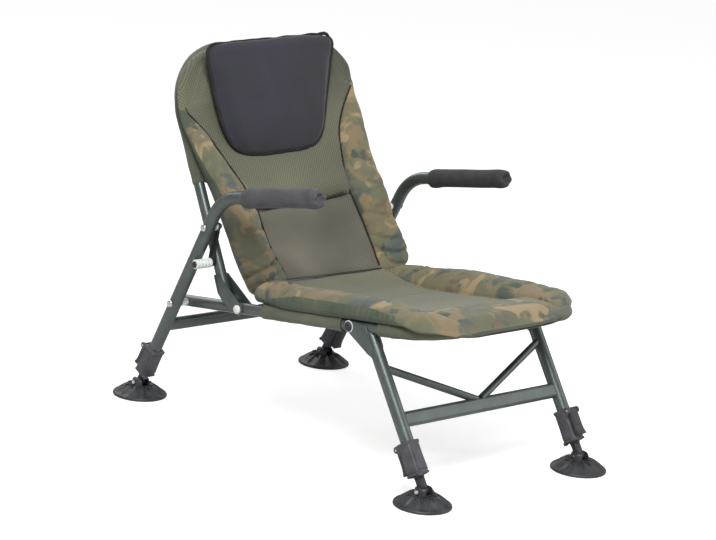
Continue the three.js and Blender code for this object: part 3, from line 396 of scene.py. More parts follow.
# ---------------------------------------------------------------- Foam grips
# Closed-cell foam sleeves pushed over the arms, their front ends folded shut.
# Each is turned in rings, then swollen a little out of round.
foam, shader = new_finish("grip_foam", (0.06, 0.058, 0.068), 0.95)
shader.inputs["Sheen Weight"].default_value = 0.12
shader.inputs["Sheen Roughness"].default_value = 0.5
mottled(foam, shader, ((0.052, 0.050, 0.060), (0.088, 0.084, 0.098)), 34, (0.88, 1.0), 0.5, 0.0008, 4.0)
# The far (left) grip takes a darker, less glossy copy of the same foam. This is painted shade for the far grip,
# which stands in less light.
foam_painted_shade_far, shader = new_finish("grip_foam_painted_shade_far", (0.035, 0.035, 0.037), 0.95)
shader.inputs["Sheen Weight"].default_value = 0.06
mottled(foam_painted_shade_far, shader, ((0.030, 0.030, 0.032), (0.050, 0.050, 0.053)), 34, (0.88, 1.0), 0.5, 0.0008, 4.0)
grip_length = 0.219


def unit(value):
    return max(0.0, min(1.0, value))


def bell(at, centre, width):
    return math.exp(-((at - centre) / width) ** 2)


def rough(x, y, z):
    return noise.noise(Vector((x, y, z)))


grip_rings = [
    (0.0145, -grip_length), (0.0176, -grip_length - 0.001),
    (0.0194, -grip_length + 0.002), (0.0201, -grip_length + 0.008),
]
grip_rings += [(0.0202, -grip_length + 0.008 + (grip_length - 0.026) * i / 26) for i in range(1, 27)]
grip_rings += [
    (0.0198, -0.011), (0.0192, -0.004), (0.0182, 0.002), (0.0164, 0.0062), (0.0140, 0.0078),
    (0.0114, 0.0076), (0.0094, 0.0050), (0.0074, 0.0020), (0.0040, 0.0012), (0, 0.0010),
]
for side, sign in both_sides:
    grip = turned(f"foam_grip_{side}", grip_rings, sides=48, smooth=60)
    for vertex in grip.data.vertices:
        x, y, z = vertex.co
        out = Vector((x, y, 0))
        swell = rough(x * 30, y * 30, z * 14 + sign * 7) * 0.0014
        start = bell(z, -grip_length, 0.022)
        ripple = math.sin(z * 240 + x * 90) * 0.0005 * start
        sag = (0.0030 * start + 0.0022 * bell(z, -0.004, 0.014)) * max(0, -y / 0.02)
        pucker = 0.0016 * math.cos(5 * math.atan2(y, x) + sign) * unit((z + 0.001) / 0.006)
        if out.length > 0.0145:
            out = out * (1 + (swell + ripple + sag) / out.length)
        vertex.co = (out.x, out.y, z + pucker)
    arm_corner, arm_end = arm_line(sign)
    toward = (arm_end - arm_corner).to_track_quat("Z", "Y").to_matrix().to_4x4()
    grip.data.transform(Matrix.Translation(arm_end) @ toward)
    # The near grip has the plain foam. The far grip has the copy darkened with painted shade.
    grip_finish = foam if sign < 0 else foam_painted_shade_far
    finish_piece(grip, rear_place, "rear_legs", grip_finish, "grip_foam", f"arm_grip_{side}")

# ---------------------------------------------------------------- Crossbars
# Flat-oval tubes welded between the legs, front and rear.
# A ring is pressed oval and pulled across the chair.


def oval_bar(name, half_span, at_y, at_z):
    depth, height = 0.016, 0.032
    bar = start_ring(name, 40, 1, turned_to=(0, math.pi / 2, 0))
    flat = (height - depth) / 2
    for vertex in bar.data.vertices:
        y, z = vertex.co.y * depth / 2, vertex.co.z * depth / 2
        vertex.co = (-half_span, at_y + y, at_z + z + math.copysign(flat, z))
    edit_all()
    pull((half_span * 2, 0, 0))
    close_up()
    smooth_to(40)
    return bar


front_pivot = Vector((0, -0.18621, 0.30999))
front_place = Matrix.Translation(front_pivot) @ Matrix.Rotation(math.radians(-34.5), 4, "X")
front_offset = -0.0375
bar = oval_bar("rear_bar", leg_x - leg_radius * 0.8, 0, -0.062)
finish_piece(bar, rear_place, "rear_legs", frame_paint, "frame_paint", "rear_crossbar")
bar = oval_bar("front_bar", rail_x - leg_radius * 0.8, front_offset, -0.217)
finish_piece(bar, front_place, "front_legs", frame_paint, "frame_paint", "front_crossbar")

# ---------------------------------------------------------------- Front legs and V brace
# Each front leg is a straight tube with two gusset plates that reach back to its pivot.
# Two thin tubes run from the legs down to the middle of the crossbar.
gusset = plate_outline([
    (-0.0347, -0.082), (-0.0249, -0.0697), (-0.0445, -0.0144), (-0.0445, -0.0615),
], 0.012, -30, 115, 2)
for side, sign in both_sides:
    leg_line = [(sign * rail_x, front_offset, -0.3016), (sign * rail_x, front_offset, -0.0215)]
    leg = bent_tube(f"front_leg_tube_{side}", leg_line, 0.1, leg_radius)
    finish_piece(leg, front_place, "front_legs", frame_paint, "frame_paint", f"front_leg_{side}")
    for where, plate in plate_pair("gusset", side, sign, gusset):
        finish_piece(plate, front_place, "front_legs", frame_paint, "frame_paint")
    brace_line = [(sign * 0.006, front_offset, -0.2045), (sign * (rail_x - 0.011), front_offset, -0.1085)]
    brace = bent_tube(f"brace_tube_{side}", brace_line, 0.1, 0.008, sides=24)
    finish_piece(brace, front_place, "front_legs", frame_paint, "frame_paint", f"front_brace_{side}")

# ---------------------------------------------------------------- Pivot bolts, caps and nylon washers
# Zinc-plated bolts with nylon caps and spacers at the pivots, and a black domed
# knob over the front leg's. Each is turned.
zinc, shader = new_finish("zinc_plate", (0.72, 0.73, 0.74), 0.24, 1.0)
mottled(zinc, shader, ((0.62, 0.63, 0.64), (0.8, 0.81, 0.82)), 120, (0.18, 0.34), 0.08, 0.0002)
nylon, shader = new_finish("white_nylon", (0.8, 0.8, 0.76), 0.42)
shader.inputs["Subsurface Weight"].default_value = 0.15
mottled(nylon, shader, ((0.74, 0.74, 0.70), (0.85, 0.85, 0.82)), 50, (0.36, 0.5), 0.1, 0.0002)
black_paint, shader = new_finish("black_paint", (0.02, 0.02, 0.022), 0.38, 0.2)
mottled(black_paint, shader, ((0.016, 0.016, 0.018), (0.03, 0.03, 0.033)), 40, (0.3, 0.46), 0.12, 0.0002)


def merge_parts(parts, smooth=None):
    bpy.ops.object.select_all(action="DESELECT")
    for part in parts:
        part.select_set(True)
    bpy.context.view_layer.objects.active = parts[0]
    bpy.ops.object.join()
    if smooth:
        smooth_to(smooth)
    return parts[0]


def side_bolt(name, sign, face, y, z, shank_end, nut, head=0.008):
    """A domed head on the face, a shank to shank_end and a nut whose outer side is at nut"""
    rise = 0.005
    dome = [
        (0, 0), (head, 0), (head, rise * 0.45), (head * 0.86, rise * 0.78),
        (head * 0.55, rise), (head * 0.3, rise * 0.92), (0, rise * 0.9),
    ]
    place, axis = (sign * face, y, z), outward[sign]
    length, depth = face - shank_end, face - nut
    hexagon = [
        (0.004, -depth), (0.0066, -depth), (0.0072, -depth - 0.001),
        (0.0072, -depth - 0.005), (0.0066, -depth - 0.006), (0.004, -depth - 0.006),
    ]
    return merge_parts([
        turned(name, dome, place, axis, 24),
        turned(name + "_shank", [(0, 0.001), (0.004, 0.001), (0.004, -length), (0, -length)], place, axis, 20),
        turned(name + "_nut", hexagon, place, axis, 6, 20),
    ])


outward = {-1: "-X", 1: "X"}
leg_face = 0.2903
plate_face = 0.2481
rear_leg_y = 0.173
front_leg_y = -0.345
spacer_profile = [
    (0.0045, 0), (0.0076, 0), (0.008, 0.0006), (0.008, 0.0163),
    (0.0076, 0.0169), (0.0045, 0.0169), (0.0045, 0),
]
cap_profile = [
    (0.0082, 0.0002), (0.0094, 0.0002), (0.0096, 0.002), (0.0086, 0.0046),
    (0.006, 0.0062), (0.0025, 0.0068), (0, 0.0069),
]
disc_profile = [(0.0082, 0.0001), (0.0122, 0.0001), (0.0125, 0.0006), (0.0122, 0.0012), (0.0082, 0.0012)]
knob_profile = [
    (0.0082, 0.0012), (0.0098, 0.0012), (0.0102, 0.0022), (0.0099, 0.0034),
    (0.0086, 0.0045), (0.0066, 0.0051), (0.004, 0.0054), (0, 0.0055),
]
pivots = (
    ("rear", leg_face, rear_leg_y, (0.2129, 0.2192, 0.008), [
        ("washer", spacer_profile, 0.2448, nylon, "white_nylon", "rear_pivot_spacer_"),
    ]),
    ("back", plate_face, 0, (0.2096, 0.2159, 0.0079), [
        ("cap", cap_profile, plate_face, nylon, "white_nylon", None),
    ]),
    ("front", plate_face, front_leg_y, (0.2096, 0.2159, 0.0079), [
        ("washer", disc_profile, plate_face, nylon, "white_nylon", None),
        ("knob", knob_profile, plate_face, black_plastic, "black_steel", None),
    ]),
)
for side, sign in both_sides:
    for end, face, y, bolt_sizes, small_pieces in pivots:
        bolt = side_bolt(f"{end}_pivot_screw_{side}", sign, face, y, 0, *bolt_sizes)
        finish_piece(bolt, seat_place, "seat", zinc, "bright_steel", f"{end}_pivot_bolt_{side}")
        for kind, profile, small_face, material, slot, node in small_pieces:
            piece = turned(f"{end}_pivot_{kind}_{side}", profile, (sign * small_face, y, 0), outward[sign])
            finish_piece(piece, seat_place, "seat", material, slot, *([node + side] if node else []))

# ---------------------------------------------------------------- Link bars, their washers and bolts
# Black flat steel bars with round ends tie the legs to the back. Each turns on a bolt
# through the leg and carries a pin at its lower end.
link_top = Vector((0, 0.23503, 0.42266))
link_low = Vector((0, 0.2471, 0.3402))
link_lean = math.atan2(link_low.y - link_top.y, link_top.z - link_low.z)
link_place = Matrix.Translation(link_top) @ Matrix.Rotation(link_lean, 4, "X")
link_span = (link_low - link_top).length
half_turn = [math.radians(180 * i / 12) for i in range(13)]
link_outline = [(0.009 * math.cos(a), 0.009 * math.sin(a)) for a in half_turn]
link_outline += [(-0.009 * math.cos(a), -link_span - 0.009 * math.sin(a)) for a in half_turn]
link_near, link_far = 0.2504, 0.2544
link_bolt_height = 0.210
pin_profile = [
    (0.004, -0.004), (0.004, 0.0434), (0.0068, 0.0434), (0.0072, 0.0440),
    (0.0066, 0.0452), (0.0035, 0.0460), (0, 0.0461),
]
link_disc_profile = [
    (0.0045, 0), (0.0076, 0), (0.008, 0.0005), (0.008, 0.0065),
    (0.0076, 0.007), (0.0045, 0.007), (0.0045, 0),
]
boss_profile = [
    (0, -0.004), (0.0052, -0.004), (0.0062, -0.0036), (0.0065, -0.003),
    (0.0065, 0.0052), (0.0062, 0.0058), (0, 0.0058),
]
for side, sign in both_sides:
    axis = outward[sign]
    bar = flat_plate(f"link_bar_{side}", link_outline, *sorted((sign * link_near, sign * link_far)))
    pin = turned(f"link_pin_{side}", pin_profile, (sign * link_far, 0, -link_span), axis, 24)
    bar = merge_parts([bar, pin])
    finish_piece(bar, link_place, "links", black_paint, "black_steel", f"stay_link_{side}")
    bolt = side_bolt(f"link_screw_{side}", sign, leg_face, 0, link_bolt_height, 0.2444, 0.2501)
    finish_piece(bolt, rear_place, "rear_legs", zinc, "bright_steel", f"link_bolt_{side}")
    washer = turned(f"link_disc_{side}", link_disc_profile, (sign * 0.2547, 0, link_bolt_height), axis)
    finish_piece(washer, rear_place, "rear_legs", nylon, "white_nylon", f"link_washer_{side}")
    boss = turned(f"back_tube_boss_{side}", boss_profile, (sign * 0.2443, back_depth, 0.115), axis, 24)
    finish_piece(boss, back_place, "back", black_paint, "black_steel", f"back_tube_bolt_{side}")

# ---------------------------------------------------------------- Stop rollers
# Ribbed white nylon rollers on the link pins, which meet the front of the leg tubes
# when the back is up.
roller_from, roller_to = 0.2547, 0.297
roller_length = roller_to - roller_from
rib_pitch = (roller_length - 0.0012) / 4.6
roller_profile = [(0.0045, 0), (0.0094, 0), (0.0099, 0.0006)]
for i in range(5):
    low = 0.0006 + i * rib_pitch
    high = low + rib_pitch * 0.6
    roller_profile += [(0.0099, low + 0.0003), (0.01055, low + 0.0009), (0.01055, high - 0.0006), (0.0099, high)]
    if i < 4:
        roller_profile += [(0.0094, high + 0.0008), (0.0094, high + rib_pitch * 0.4 - 0.0006)]
roller_profile += [(0.0094, roller_length), (0.0045, roller_length), (0.0045, 0)]
for side, sign in both_sides:
    place = (sign * roller_from, 0, -link_span)
    roller = turned(f"leg_roller_{side}", roller_profile, place, outward[sign], 32, 30)
    finish_piece(roller, link_place, "links", nylon, "white_nylon", f"stop_roller_{side}")

# ---------------------------------------------------------------- Clamp blocks
# Moulded black nylon housings at the foot of each leg tube, with a raised trapezoid
# plate on each side and two ears that carry the cam lever.
clamp_plastic, shader = new_finish("clamp_plastic", (0.07, 0.067, 0.08), 0.5)
mottled(clamp_plastic, shader, ((0.055, 0.053, 0.064), (0.092, 0.088, 0.105)), 45, (0.42, 0.62), 0.35, 0.0004)
lever_plastic, shader = new_finish("lever_plastic", (0.038, 0.039, 0.040), 0.5)
mottled(lever_plastic, shader, ((0.030, 0.031, 0.032), (0.050, 0.051, 0.053)), 45, (0.42, 0.62), 0.35, 0.0004)
legs = []
for end, place, x, y, drop, low, body in (
    ("front", front_place, rail_x, front_offset, 0.36552, 0.034, "front_legs"),
    ("rear", rear_place, leg_x, 0, 0.22576, 0.027, "rear_legs"),
):
    for side, sign in both_sides:
        legs.append((end, side, sign, place @ Matrix.Translation((sign * x, y, -drop)), low, body))


def soft_block(name, size, place, corner, segments=3):
    bpy.ops.mesh.primitive_cube_add(size=1, location=place, scale=size)
    block = bpy.context.object
    block.name = name
    bpy.ops.object.transform_apply(location=True, rotation=True, scale=True)
    change(block, "BEVEL", width=corner, segments=segments, limit_method="ANGLE")
    return block



for end, side, sign, place, low, body in legs:
    lever_side, plain_side = -sign, sign
    base, top = low - 0.003, low + 0.069
    height = top - base
    face_low, face_high = base + 0.0085, top - 0.0095
    trapezoid = [(-0.0138, face_low), (0.0138, face_low), (0.0112, face_high), (-0.0112, face_high)]
    panel = [(y * 0.74, base + 0.0125 + (z - face_low) * 0.86) for y, z in trapezoid]
    pivot_y, pivot_z = lever_side * 0.0228, low + 0.061
    ear = [(lever_side * 0.0150, pivot_z - 0.017), (lever_side * 0.0150, pivot_z + 0.0078)]
    for i in range(11):
        a = math.radians(90 - 18 * i)
        ear.append((pivot_y + lever_side * 0.0070 * math.cos(a), pivot_z + 0.0070 * math.sin(a)))
    parts = [soft_block(f"clamp_block_{end}_{side}", (0.033, 0.0335, height), (0, 0, (base + top) / 2), 0.0055, 4)]
    parts += [soft_block(f"clamp_{name}", size, at, corner, segments) for name, size, at, corner, segments in (
        ("collar", (0.0345, 0.035, 0.008), (0, 0, top - 0.0035), 0.0032, 3),
        ("lip", (0.034, 0.0345, 0.0055), (0, 0, base + 0.0040), 0.0024, 3),
        ("back_plate", (0.022, 0.003, 0.050), (0, plain_side * 0.0172, base + 0.036), 0.0011, 2),
        ("foot_tab", (0.010, 0.006, 0.007), (-0.010, plain_side * 0.0170, base + 0.0015), 0.0018, 2),
        ("rib", (0.0018, 0.0026, 0.034), (-0.0194, plain_side * 0.0042, base + 0.0355), 0.0006, 2),
        ("rib", (0.0018, 0.0026, 0.034), (0.0194, plain_side * 0.0042, base + 0.0355), 0.0006, 2),
    )]
    for out in (-1, 1):
        parts += [flat_plate(f"clamp_{name}", outline, *sorted((out * near, out * far)), bevel=bevel)
                  for name, outline, near, far, bevel in (
                      ("face", trapezoid, 0.0155, 0.0186, 0.0012),
                      ("panel", panel, 0.0180, 0.0196, 0.0007),
                      ("ear", ear, 0.0124, 0.0160, 0.0008))]
    block = merge_parts(parts, smooth=35)
    finish_piece(block, place, body, clamp_plastic, "clamp_plastic", f"clamp_{end}_{side}")

    # The cam lever is a paddle along the block, its lower end turned out to be caught
    half = 0.0045
    side_in, side_out = pivot_y - lever_side * half, pivot_y + lever_side * half
    paddle = [
        (side_out, pivot_z - 0.034), (side_out + lever_side * 0.0010, pivot_z - 0.044),
        (side_out + lever_side * 0.0040, pivot_z - 0.0530), (side_out + lever_side * 0.0034, pivot_z - 0.0550),
        (side_in + lever_side * 0.0026, pivot_z - 0.0545), (side_in, pivot_z - 0.046), (side_in, pivot_z - 0.030),
    ]
    for i in range(11):
        a = math.radians(18 * i)
        paddle.append((pivot_y - lever_side * half * math.cos(a), pivot_z + half * math.sin(a)))
    lever = flat_plate(f"clamp_paddle_{end}_{side}", paddle, -0.0118, 0.0118, bevel=0.0013)
    ridge = soft_block("lever_ridge", (0.017, 0.002, 0.030), (0, side_out, pivot_z - 0.019), 0.0008, 2)
    lever = merge_parts([lever, ridge], smooth=35)
    finish_piece(lever, place, f"lever_{end}_{side}", lever_plastic, "clamp_plastic", f"clamp_lever_{end}_{side}")
    pin = turned(f"clamp_pin_{end}_{side}", [
        (0, -0.0170), (0.0021, -0.0170), (0.0025, -0.0166), (0.0025, 0.0166), (0.0021, 0.0170), (0, 0.0170),
    ], (0, pivot_y, pivot_z), "X", 20)
    finish_piece(pin, place, body, zinc, "bright_steel")

# ---------------------------------------------------------------- Inner legs
# Black telescopic rods that slide in the leg tubes, with notches for the clamp and
# a flat neck that ends in an eye for the foot's pin.
for end, side, sign, place, low, body in legs:
    profile = [(0, 0.0255), (0.0086, 0.0255), (0.0104, 0.027), (0.011, 0.029)]
    for i in range(3):
        notch = low + 0.038 + i * 0.020
        profile += [(0.011, notch), (0.0098, notch + 0.0008), (0.0098, notch + 0.0042), (0.011, notch + 0.005)]
    profile += [(0.011, 0.211), (0.0102, 0.212), (0, 0.212)]
    rod = turned(f"leg_rod_{end}_{side}", profile, sides=28)
    neck = soft_block(f"rod_neck_{end}_{side}", (0.018, 0.0135, 0.030), (0, 0, 0.0145), 0.0022)
    eye = turned(f"rod_eye_{end}_{side}", [
        (0, -0.009), (0.0082, -0.009), (0.009, -0.0082), (0.009, 0.0082), (0.0082, 0.009), (0, 0.009),
    ], axis="X", sides=28)
    rod = merge_parts([rod, neck, eye], smooth=35)
    finish_piece(rod, place, f"extension_{end}_{side}", black_paint, "black_steel", f"inner_leg_{end}_{side}")

# ---------------------------------------------------------------- Mud feet
# Wide moulded black feet, domed and ribbed, with six pairs of pockets sunk in the dome.
# A forked hub holds each on its zinc pin.
foot_plastic, shader = new_finish("foot_plastic", (0.03, 0.031, 0.034), 0.46)
mottled(foot_plastic, shader, ((0.024, 0.025, 0.027), (0.045, 0.046, 0.05)), 40, (0.36, 0.56), 0.3, 0.0004)
ground = -0.030


def cut_away(piece, cutter):
    change(piece, "BOOLEAN", operation="DIFFERENCE", solver="EXACT", object=cutter)
    bpy.data.objects.remove(cutter, do_unlink=True)


def mud_dish(name):
    profile = [
        (0, 0.0215), (0.0170, 0.0225), (0.0215, 0.0236), (0.026, 0.0238), (0.030, 0.0228), (0.034, 0.0208),
        (0.038, 0.0184), (0.042, 0.0156), (0.046, 0.0128), (0.050, 0.0100), (0.0535, 0.0080), (0.0560, 0.0068),
        (0.0582, 0.0058), (0.0596, 0.0042), (0.0600, 0.0022), (0.0594, 0.0004), (0.0575, 0), (0.0532, 0),
        (0.0522, 0.0016), (0.046, 0.0052), (0.036, 0.0092), (0.026, 0.0122), (0.016, 0.0130), (0, 0.0130),
    ]
    hub_radius = 0.019
    dish = turned(name, [(r, ground + z) for r, z in profile], sides=120, smooth=50)
    for vertex in dish.data.vertices:
        x, y, z = vertex.co
        r, a = math.hypot(x, y), math.degrees(math.atan2(y, x)) % 60
        upper = z - ground > 0.0046 + max(0, 0.050 - r) * 0.24
        if upper and r > hub_radius:
            rib = bell(min(a, 60 - a), 0, 4.5)
            petal = bell(a, 30, 15)
            fade = min(1.0, (r - hub_radius) / 0.006) * unit((0.0575 - r) / 0.008)
            vertex.co.z += (0.0014 * rib + 0.0022 * petal - 0.0030 * (1 - rib) * (1 - petal)) * fade
    pockets = []
    for i in range(6):
        for turn_by in (-10.5, 10.5):
            pocket = soft_block("pocket", (0.017, 0.0062, 0.03), (0.0350, 0, ground + 0.0335), 0.0022)
            pocket.data.transform(Matrix.Rotation(math.radians(60 * i + 30 + turn_by), 4, "Z"))
            pockets.append(pocket)
    cut_away(dish, merge_parts(pockets))
    return dish


def mud_hub(name):
    profile = [
        (0, 0.0165), (0.0200, 0.0165), (0.0203, 0.0200), (0.0196, 0.0255), (0.0188, 0.0320),
        (0.0176, 0.0362), (0.0148, 0.0388), (0.0110, 0.0398), (0, 0.0400),
    ]
    hub = turned(name, profile, (0, 0, ground), sides=48, smooth=45)
    cut_away(hub, soft_block("hub_slot", (0.0188, 0.06, 0.040), (0, 0, ground + 0.0405), 0.0015))
    ribs = [hub]
    for i in range(6):
        rib = soft_block("hub_rib", (0.012, 0.0034, 0.011), (0.0235, 0, ground + 0.0215), 0.0014)
        rib.data.transform(Matrix.Rotation(i * math.pi / 3, 4, "Z"))
        ribs.append(rib)
    return merge_parts(ribs)


mould = merge_parts([mud_dish("mud_foot_first"), mud_hub("mud_hub_first")], smooth=38)
axle_profile = [
    (0, -0.038), (0.003, -0.038), (0.003, 0), (0.0046, 0),
    (0.005, 0.0004), (0.005, 0.0018), (0.0042, 0.0025), (0, 0.0026),
]
for end, x, y in (("front", rail_x, -0.42415), ("rear", leg_x, 0.4240)):
    for side, sign in both_sides:
        body = f"foot_{end}_{side}"
        at_ball = Matrix.Translation((sign * x, y, 0.030))
        foot = mould.copy()
        foot.data = mould.data.copy()
        foot.name = f"mud_pad_{end}_{side}"
        bpy.context.scene.collection.objects.link(foot)
        finish_piece(foot, at_ball, body, foot_plastic, "foot_plastic", f"mud_{body}")
        pin = turned(f"foot_axle_{end}_{side}", axle_profile, (sign * 0.0193, 0, 0), outward[sign], 24)
        finish_piece(pin, at_ball, body, zinc, "bright_steel", f"foot_pin_{end}_{side}")
bpy.data.objects.remove(mould, do_unlink=True)

# ---------------------------------------------------------------- Seat cover
# One sheet of olive coated cloth, stretched between the rails, with a sewn sleeve
# round each stretch of rail. It is stitched along the sleeves.


def srgb(colour):
    parts = [int(colour[i:i + 2], 16) / 255 for i in (1, 3, 5)]
    return tuple(c / 12.92 if c <= 0.04045 else ((c + 0.055) / 1.055) ** 2.4 for c in parts)


def mixed(material, factor, first, second, blend="MULTIPLY"):
    mix = node_of(material, "ShaderNodeMix", data_type="RGBA", blend_type=blend)
    for entry, value in ((0, factor), (6, first), (7, second)):
        if isinstance(value, bpy.types.NodeSocket):
            material.node_tree.links.new(value, mix.inputs[entry])
        else:
            mix.inputs[entry].default_value = value
    return mix.outputs[2]


def waves_of(material, vector, pitch, direction="X"):
    made = node_of(material, "ShaderNodeTexWave", Scale=math.pi / 10 / pitch, bands_direction=direction)
    material.node_tree.links.new(vector, made.inputs["Vector"])
    return made.outputs["Fac"]


def combined(material, operation, first, second):
    made = node_of(material, "ShaderNodeMath", operation=operation)
    material.node_tree.links.new(first, made.inputs[0])
    material.node_tree.links.new(second, made.inputs[1])
    return made.outputs[0]


def cloth_finish(name, colour, roughness, sheen, sheen_roughness=0.5):
    material, shader = new_finish(name, colour, roughness)
    shader.inputs["Sheen Weight"].default_value = sheen
    shader.inputs["Sheen Roughness"].default_value = sheen_roughness
    return material, shader, node_of(material, "ShaderNodeTexCoord").outputs


def woven(name, dark, light):
    material, shader, place = cloth_finish(name, light, 0.9, 0.25)
    link = material.node_tree.links.new
    patch = noise_of(material, place["Object"], 9, 4.0)
    tint = ramp_of(material, patch, (0.32, dark), (0.68, light))
    threads = [waves_of(material, place["UV"], 0.0014, direction) for direction in ("X", "Y")]
    weave = combined(material, "MAXIMUM", *threads)
    link(mixed(material, 0.35, tint, weave), shader.inputs["Base Color"])
    relief = bump_of(material, weave, 0.4, 0.0004)
    crumple = noise_of(material, place["Object"], 38, 3.0)
    link(bump_of(material, crumple, 0.35, 0.0016, relief), shader.inputs["Normal"])
    return material


sling_cloth = woven("sling_cloth", srgb("#4d5140"), srgb("#666a54"))


def place_mesh(name, data):
    piece = bpy.data.objects.new(name, data)
    bpy.context.scene.collection.objects.link(piece)
    choose(piece)
    return piece


def grid_piece(name, rows, columns, place):
    vertices, faces, uvs = [], [], []
    for i in range(rows + 1):
        for j in range(columns + 1):
            point, uv = place(i / rows, j / columns)
            vertices.append(point)
            uvs.append(uv)
    for i in range(rows):
        for j in range(columns):
            a = i * (columns + 1) + j
            faces.append((a, a + 1, a + columns + 2, a + columns + 1))
    data = bpy.data.meshes.new(name)
    data.from_pydata(vertices, [], faces)
    layer = data.uv_layers.new(name="weave")
    for face in data.polygons:
        for loop, vertex in zip(face.loop_indices, face.vertices):
            layer.data[loop].uv = uvs[vertex]
    piece = place_mesh(name, data)
    change(piece, "SOLIDIFY", thickness=0.0012, offset=0.0)
    smooth_to(60)
    return piece


def weld(piece, gap=None):
    choose(piece)
    edit_all()
    close_up(gap)


def sleeve_along(name, centre, length, radius, seed, rows):
    def place(i, j):
        middle, side_way, up_way = centre(i)
        a = 2 * math.pi * j
        ripple = rough(i * length * 26 + seed, math.cos(a) * 1.1, math.sin(a) * 1.1)
        pleat = math.sin(i * length * 150 + 4 * math.sin(a) + seed) * 0.25
        r = radius + 0.0011 * (ripple + pleat * 0.5)
        return middle + side_way * (r * math.cos(a)) + up_way * (r * math.sin(a)), (radius * a, i * length)
    sleeve = grid_piece(name, rows, 26, place)
    weld(sleeve, 0.00002)
    return sleeve


def hoop(d, rise, radius, head):
    """Point and outward way at distance d along a bent rail: up one side, over the head and down"""
    flat, arc, bend = rail_x - radius, radius * math.pi / 2, head - radius
    if d < rise:
        return (-rail_x, bend - rise + d), (-1, 0)
    d -= rise
    if d < arc:
        out = (-math.cos(d / radius), math.sin(d / radius))
        return (-flat + out[0] * radius, bend + out[1] * radius), out
    d -= arc
    if d < 2 * flat:
        return (-flat + d, head), (0, 1)
    d -= 2 * flat
    if d < arc:
        out = (math.sin(d / radius), math.cos(d / radius))
        return (flat + out[0] * radius, bend + out[1] * radius), out
    return (rail_x, bend - (d - arc)), (1, 0)


def sheet_area(half, start, end):
    strip = (end - start) / 60
    return sum(2 * half(start + (i + 0.5) * strip) * strip for i in range(60))


sheet_start, sheet_end = 0.048, 0.552


def seat_half(along):
    into = max(0.0, along - (sheet_end - seat_bend))
    return rail_x - seat_bend + math.sqrt(max(0.0, seat_bend ** 2 - into ** 2))


def seat_sheet_place(i, j):
    along = sheet_start + i * (sheet_end - sheet_start)
    x = (2 * j - 1) * seat_half(along)
    return Vector((x, -along, 0.0136 + 0.0004 * rough(x * 16, along * 12, 3.0))), (x, along)


seat_sheet = grid_piece("seat_cover_sheet", 60, 48, seat_sheet_place)
seat_sleeve_radius = 0.0142
seat_sleeves = []
for side, sign in both_sides:
    for where, low, high in (("rear", 0.072, 0.316), ("front", 0.424, sheet_end - seat_bend)):
        def along_rail(i, low=low, high=high, sign=sign):
            return Vector((sign * rail_x, -(low + i * (high - low)), 0)), Vector((1, 0, 0)), Vector((0, 0, 1))
        rows = max(12, int((high - low) * 240))
        seed = sign * 3 + low * 20
        name = f"seat_sleeve_{where}_{side}"
        seat_sleeves.append(sleeve_along(name, along_rail, high - low, seat_sleeve_radius, seed, rows))
front_length = seat_bend * math.pi + 2 * (rail_x - seat_bend)


def front_bend(i):
    (across, along), (out, on) = hoop(i * front_length, 0, seat_bend, sheet_end)
    return Vector((across, -along, 0)), Vector((out, -on, 0)), Vector((0, 0, 1))


seat_sleeves.append(sleeve_along("seat_sleeve_bar", front_bend, front_length, seat_sleeve_radius, 11.0, 120))
for sleeve in seat_sleeves:
    finish_piece(sleeve, seat_place, "seat", sling_cloth, "sling_cloth")
finish_piece(seat_sheet, seat_place, "seat", sling_cloth, "sling_cloth", "seat_sling")
sheet_area(seat_half, sheet_start, sheet_end)

# ---------------------------------------------------------------- Back cover
# The same cloth behind the back cushion, in a sleeve over the whole head of the back
# frame and stretched across it.
cover_start = 0.092
sleeve_foot = 0.290


def eased(share):
    return share * share * (3 - 2 * share)


def back_half(height):
    into = max(0.0, height - (head_height - head_radius))
    free = unit((sleeve_foot + 0.004 - height) / 0.03)
    return rail_x - head_radius + math.sqrt(max(0.0, head_radius ** 2 - into ** 2)) - 0.048 * eased(free)


def back_sheet_place(i, j):
    height = cover_start + i * (head_height - cover_start)
    x = (2 * j - 1) * back_half(height)
    sag = 0.008 * math.sin(math.pi * i) ** 2 * (1 - (x / rail_x) ** 2) ** 3
    return Vector((x, 0.0300 + sag + 0.0006 * rough(x * 14, 7.0, height * 12), height)), (x, height)


back_sheet = grid_piece("back_cover_sheet", 60, 44, back_sheet_place)
side_rise = head_height - head_radius - sleeve_foot
back_length = 2 * side_rise + head_radius * math.pi + 2 * (rail_x - head_radius)


def back_bend(i):
    (across, height), (out, up) = hoop(i * back_length, side_rise, head_radius, head_height)
    return Vector((across, back_depth, height)), Vector((out, 0, up)), Vector((0, 1, 0))


back_sleeve = sleeve_along("back_sleeve", back_bend, back_length, 0.0130, 5.0, 220)
finish_piece(back_sleeve, back_place, "back", sling_cloth, "sling_cloth")
finish_piece(back_sheet, back_place, "back", sling_cloth, "sling_cloth", "back_sling")
sheet_area(back_half, cover_start, head_height)

# ---------------------------------------------------------------- Seat cushion
# A padded cushion sewn from camouflage cloth, with a mesh panel between its stuffed side
# rolls, plain green sides and a stuffed front edge. It is gathered where it folds.


def curve_between(low, low_slope, high, high_slope, t):
    return (
        (2 * t ** 3 - 3 * t ** 2 + 1) * low + (t ** 3 - 2 * t ** 2 + t) * low_slope
        + (3 * t ** 2 - 2 * t ** 3) * high + (t ** 3 - t ** 2) * high_slope
    )


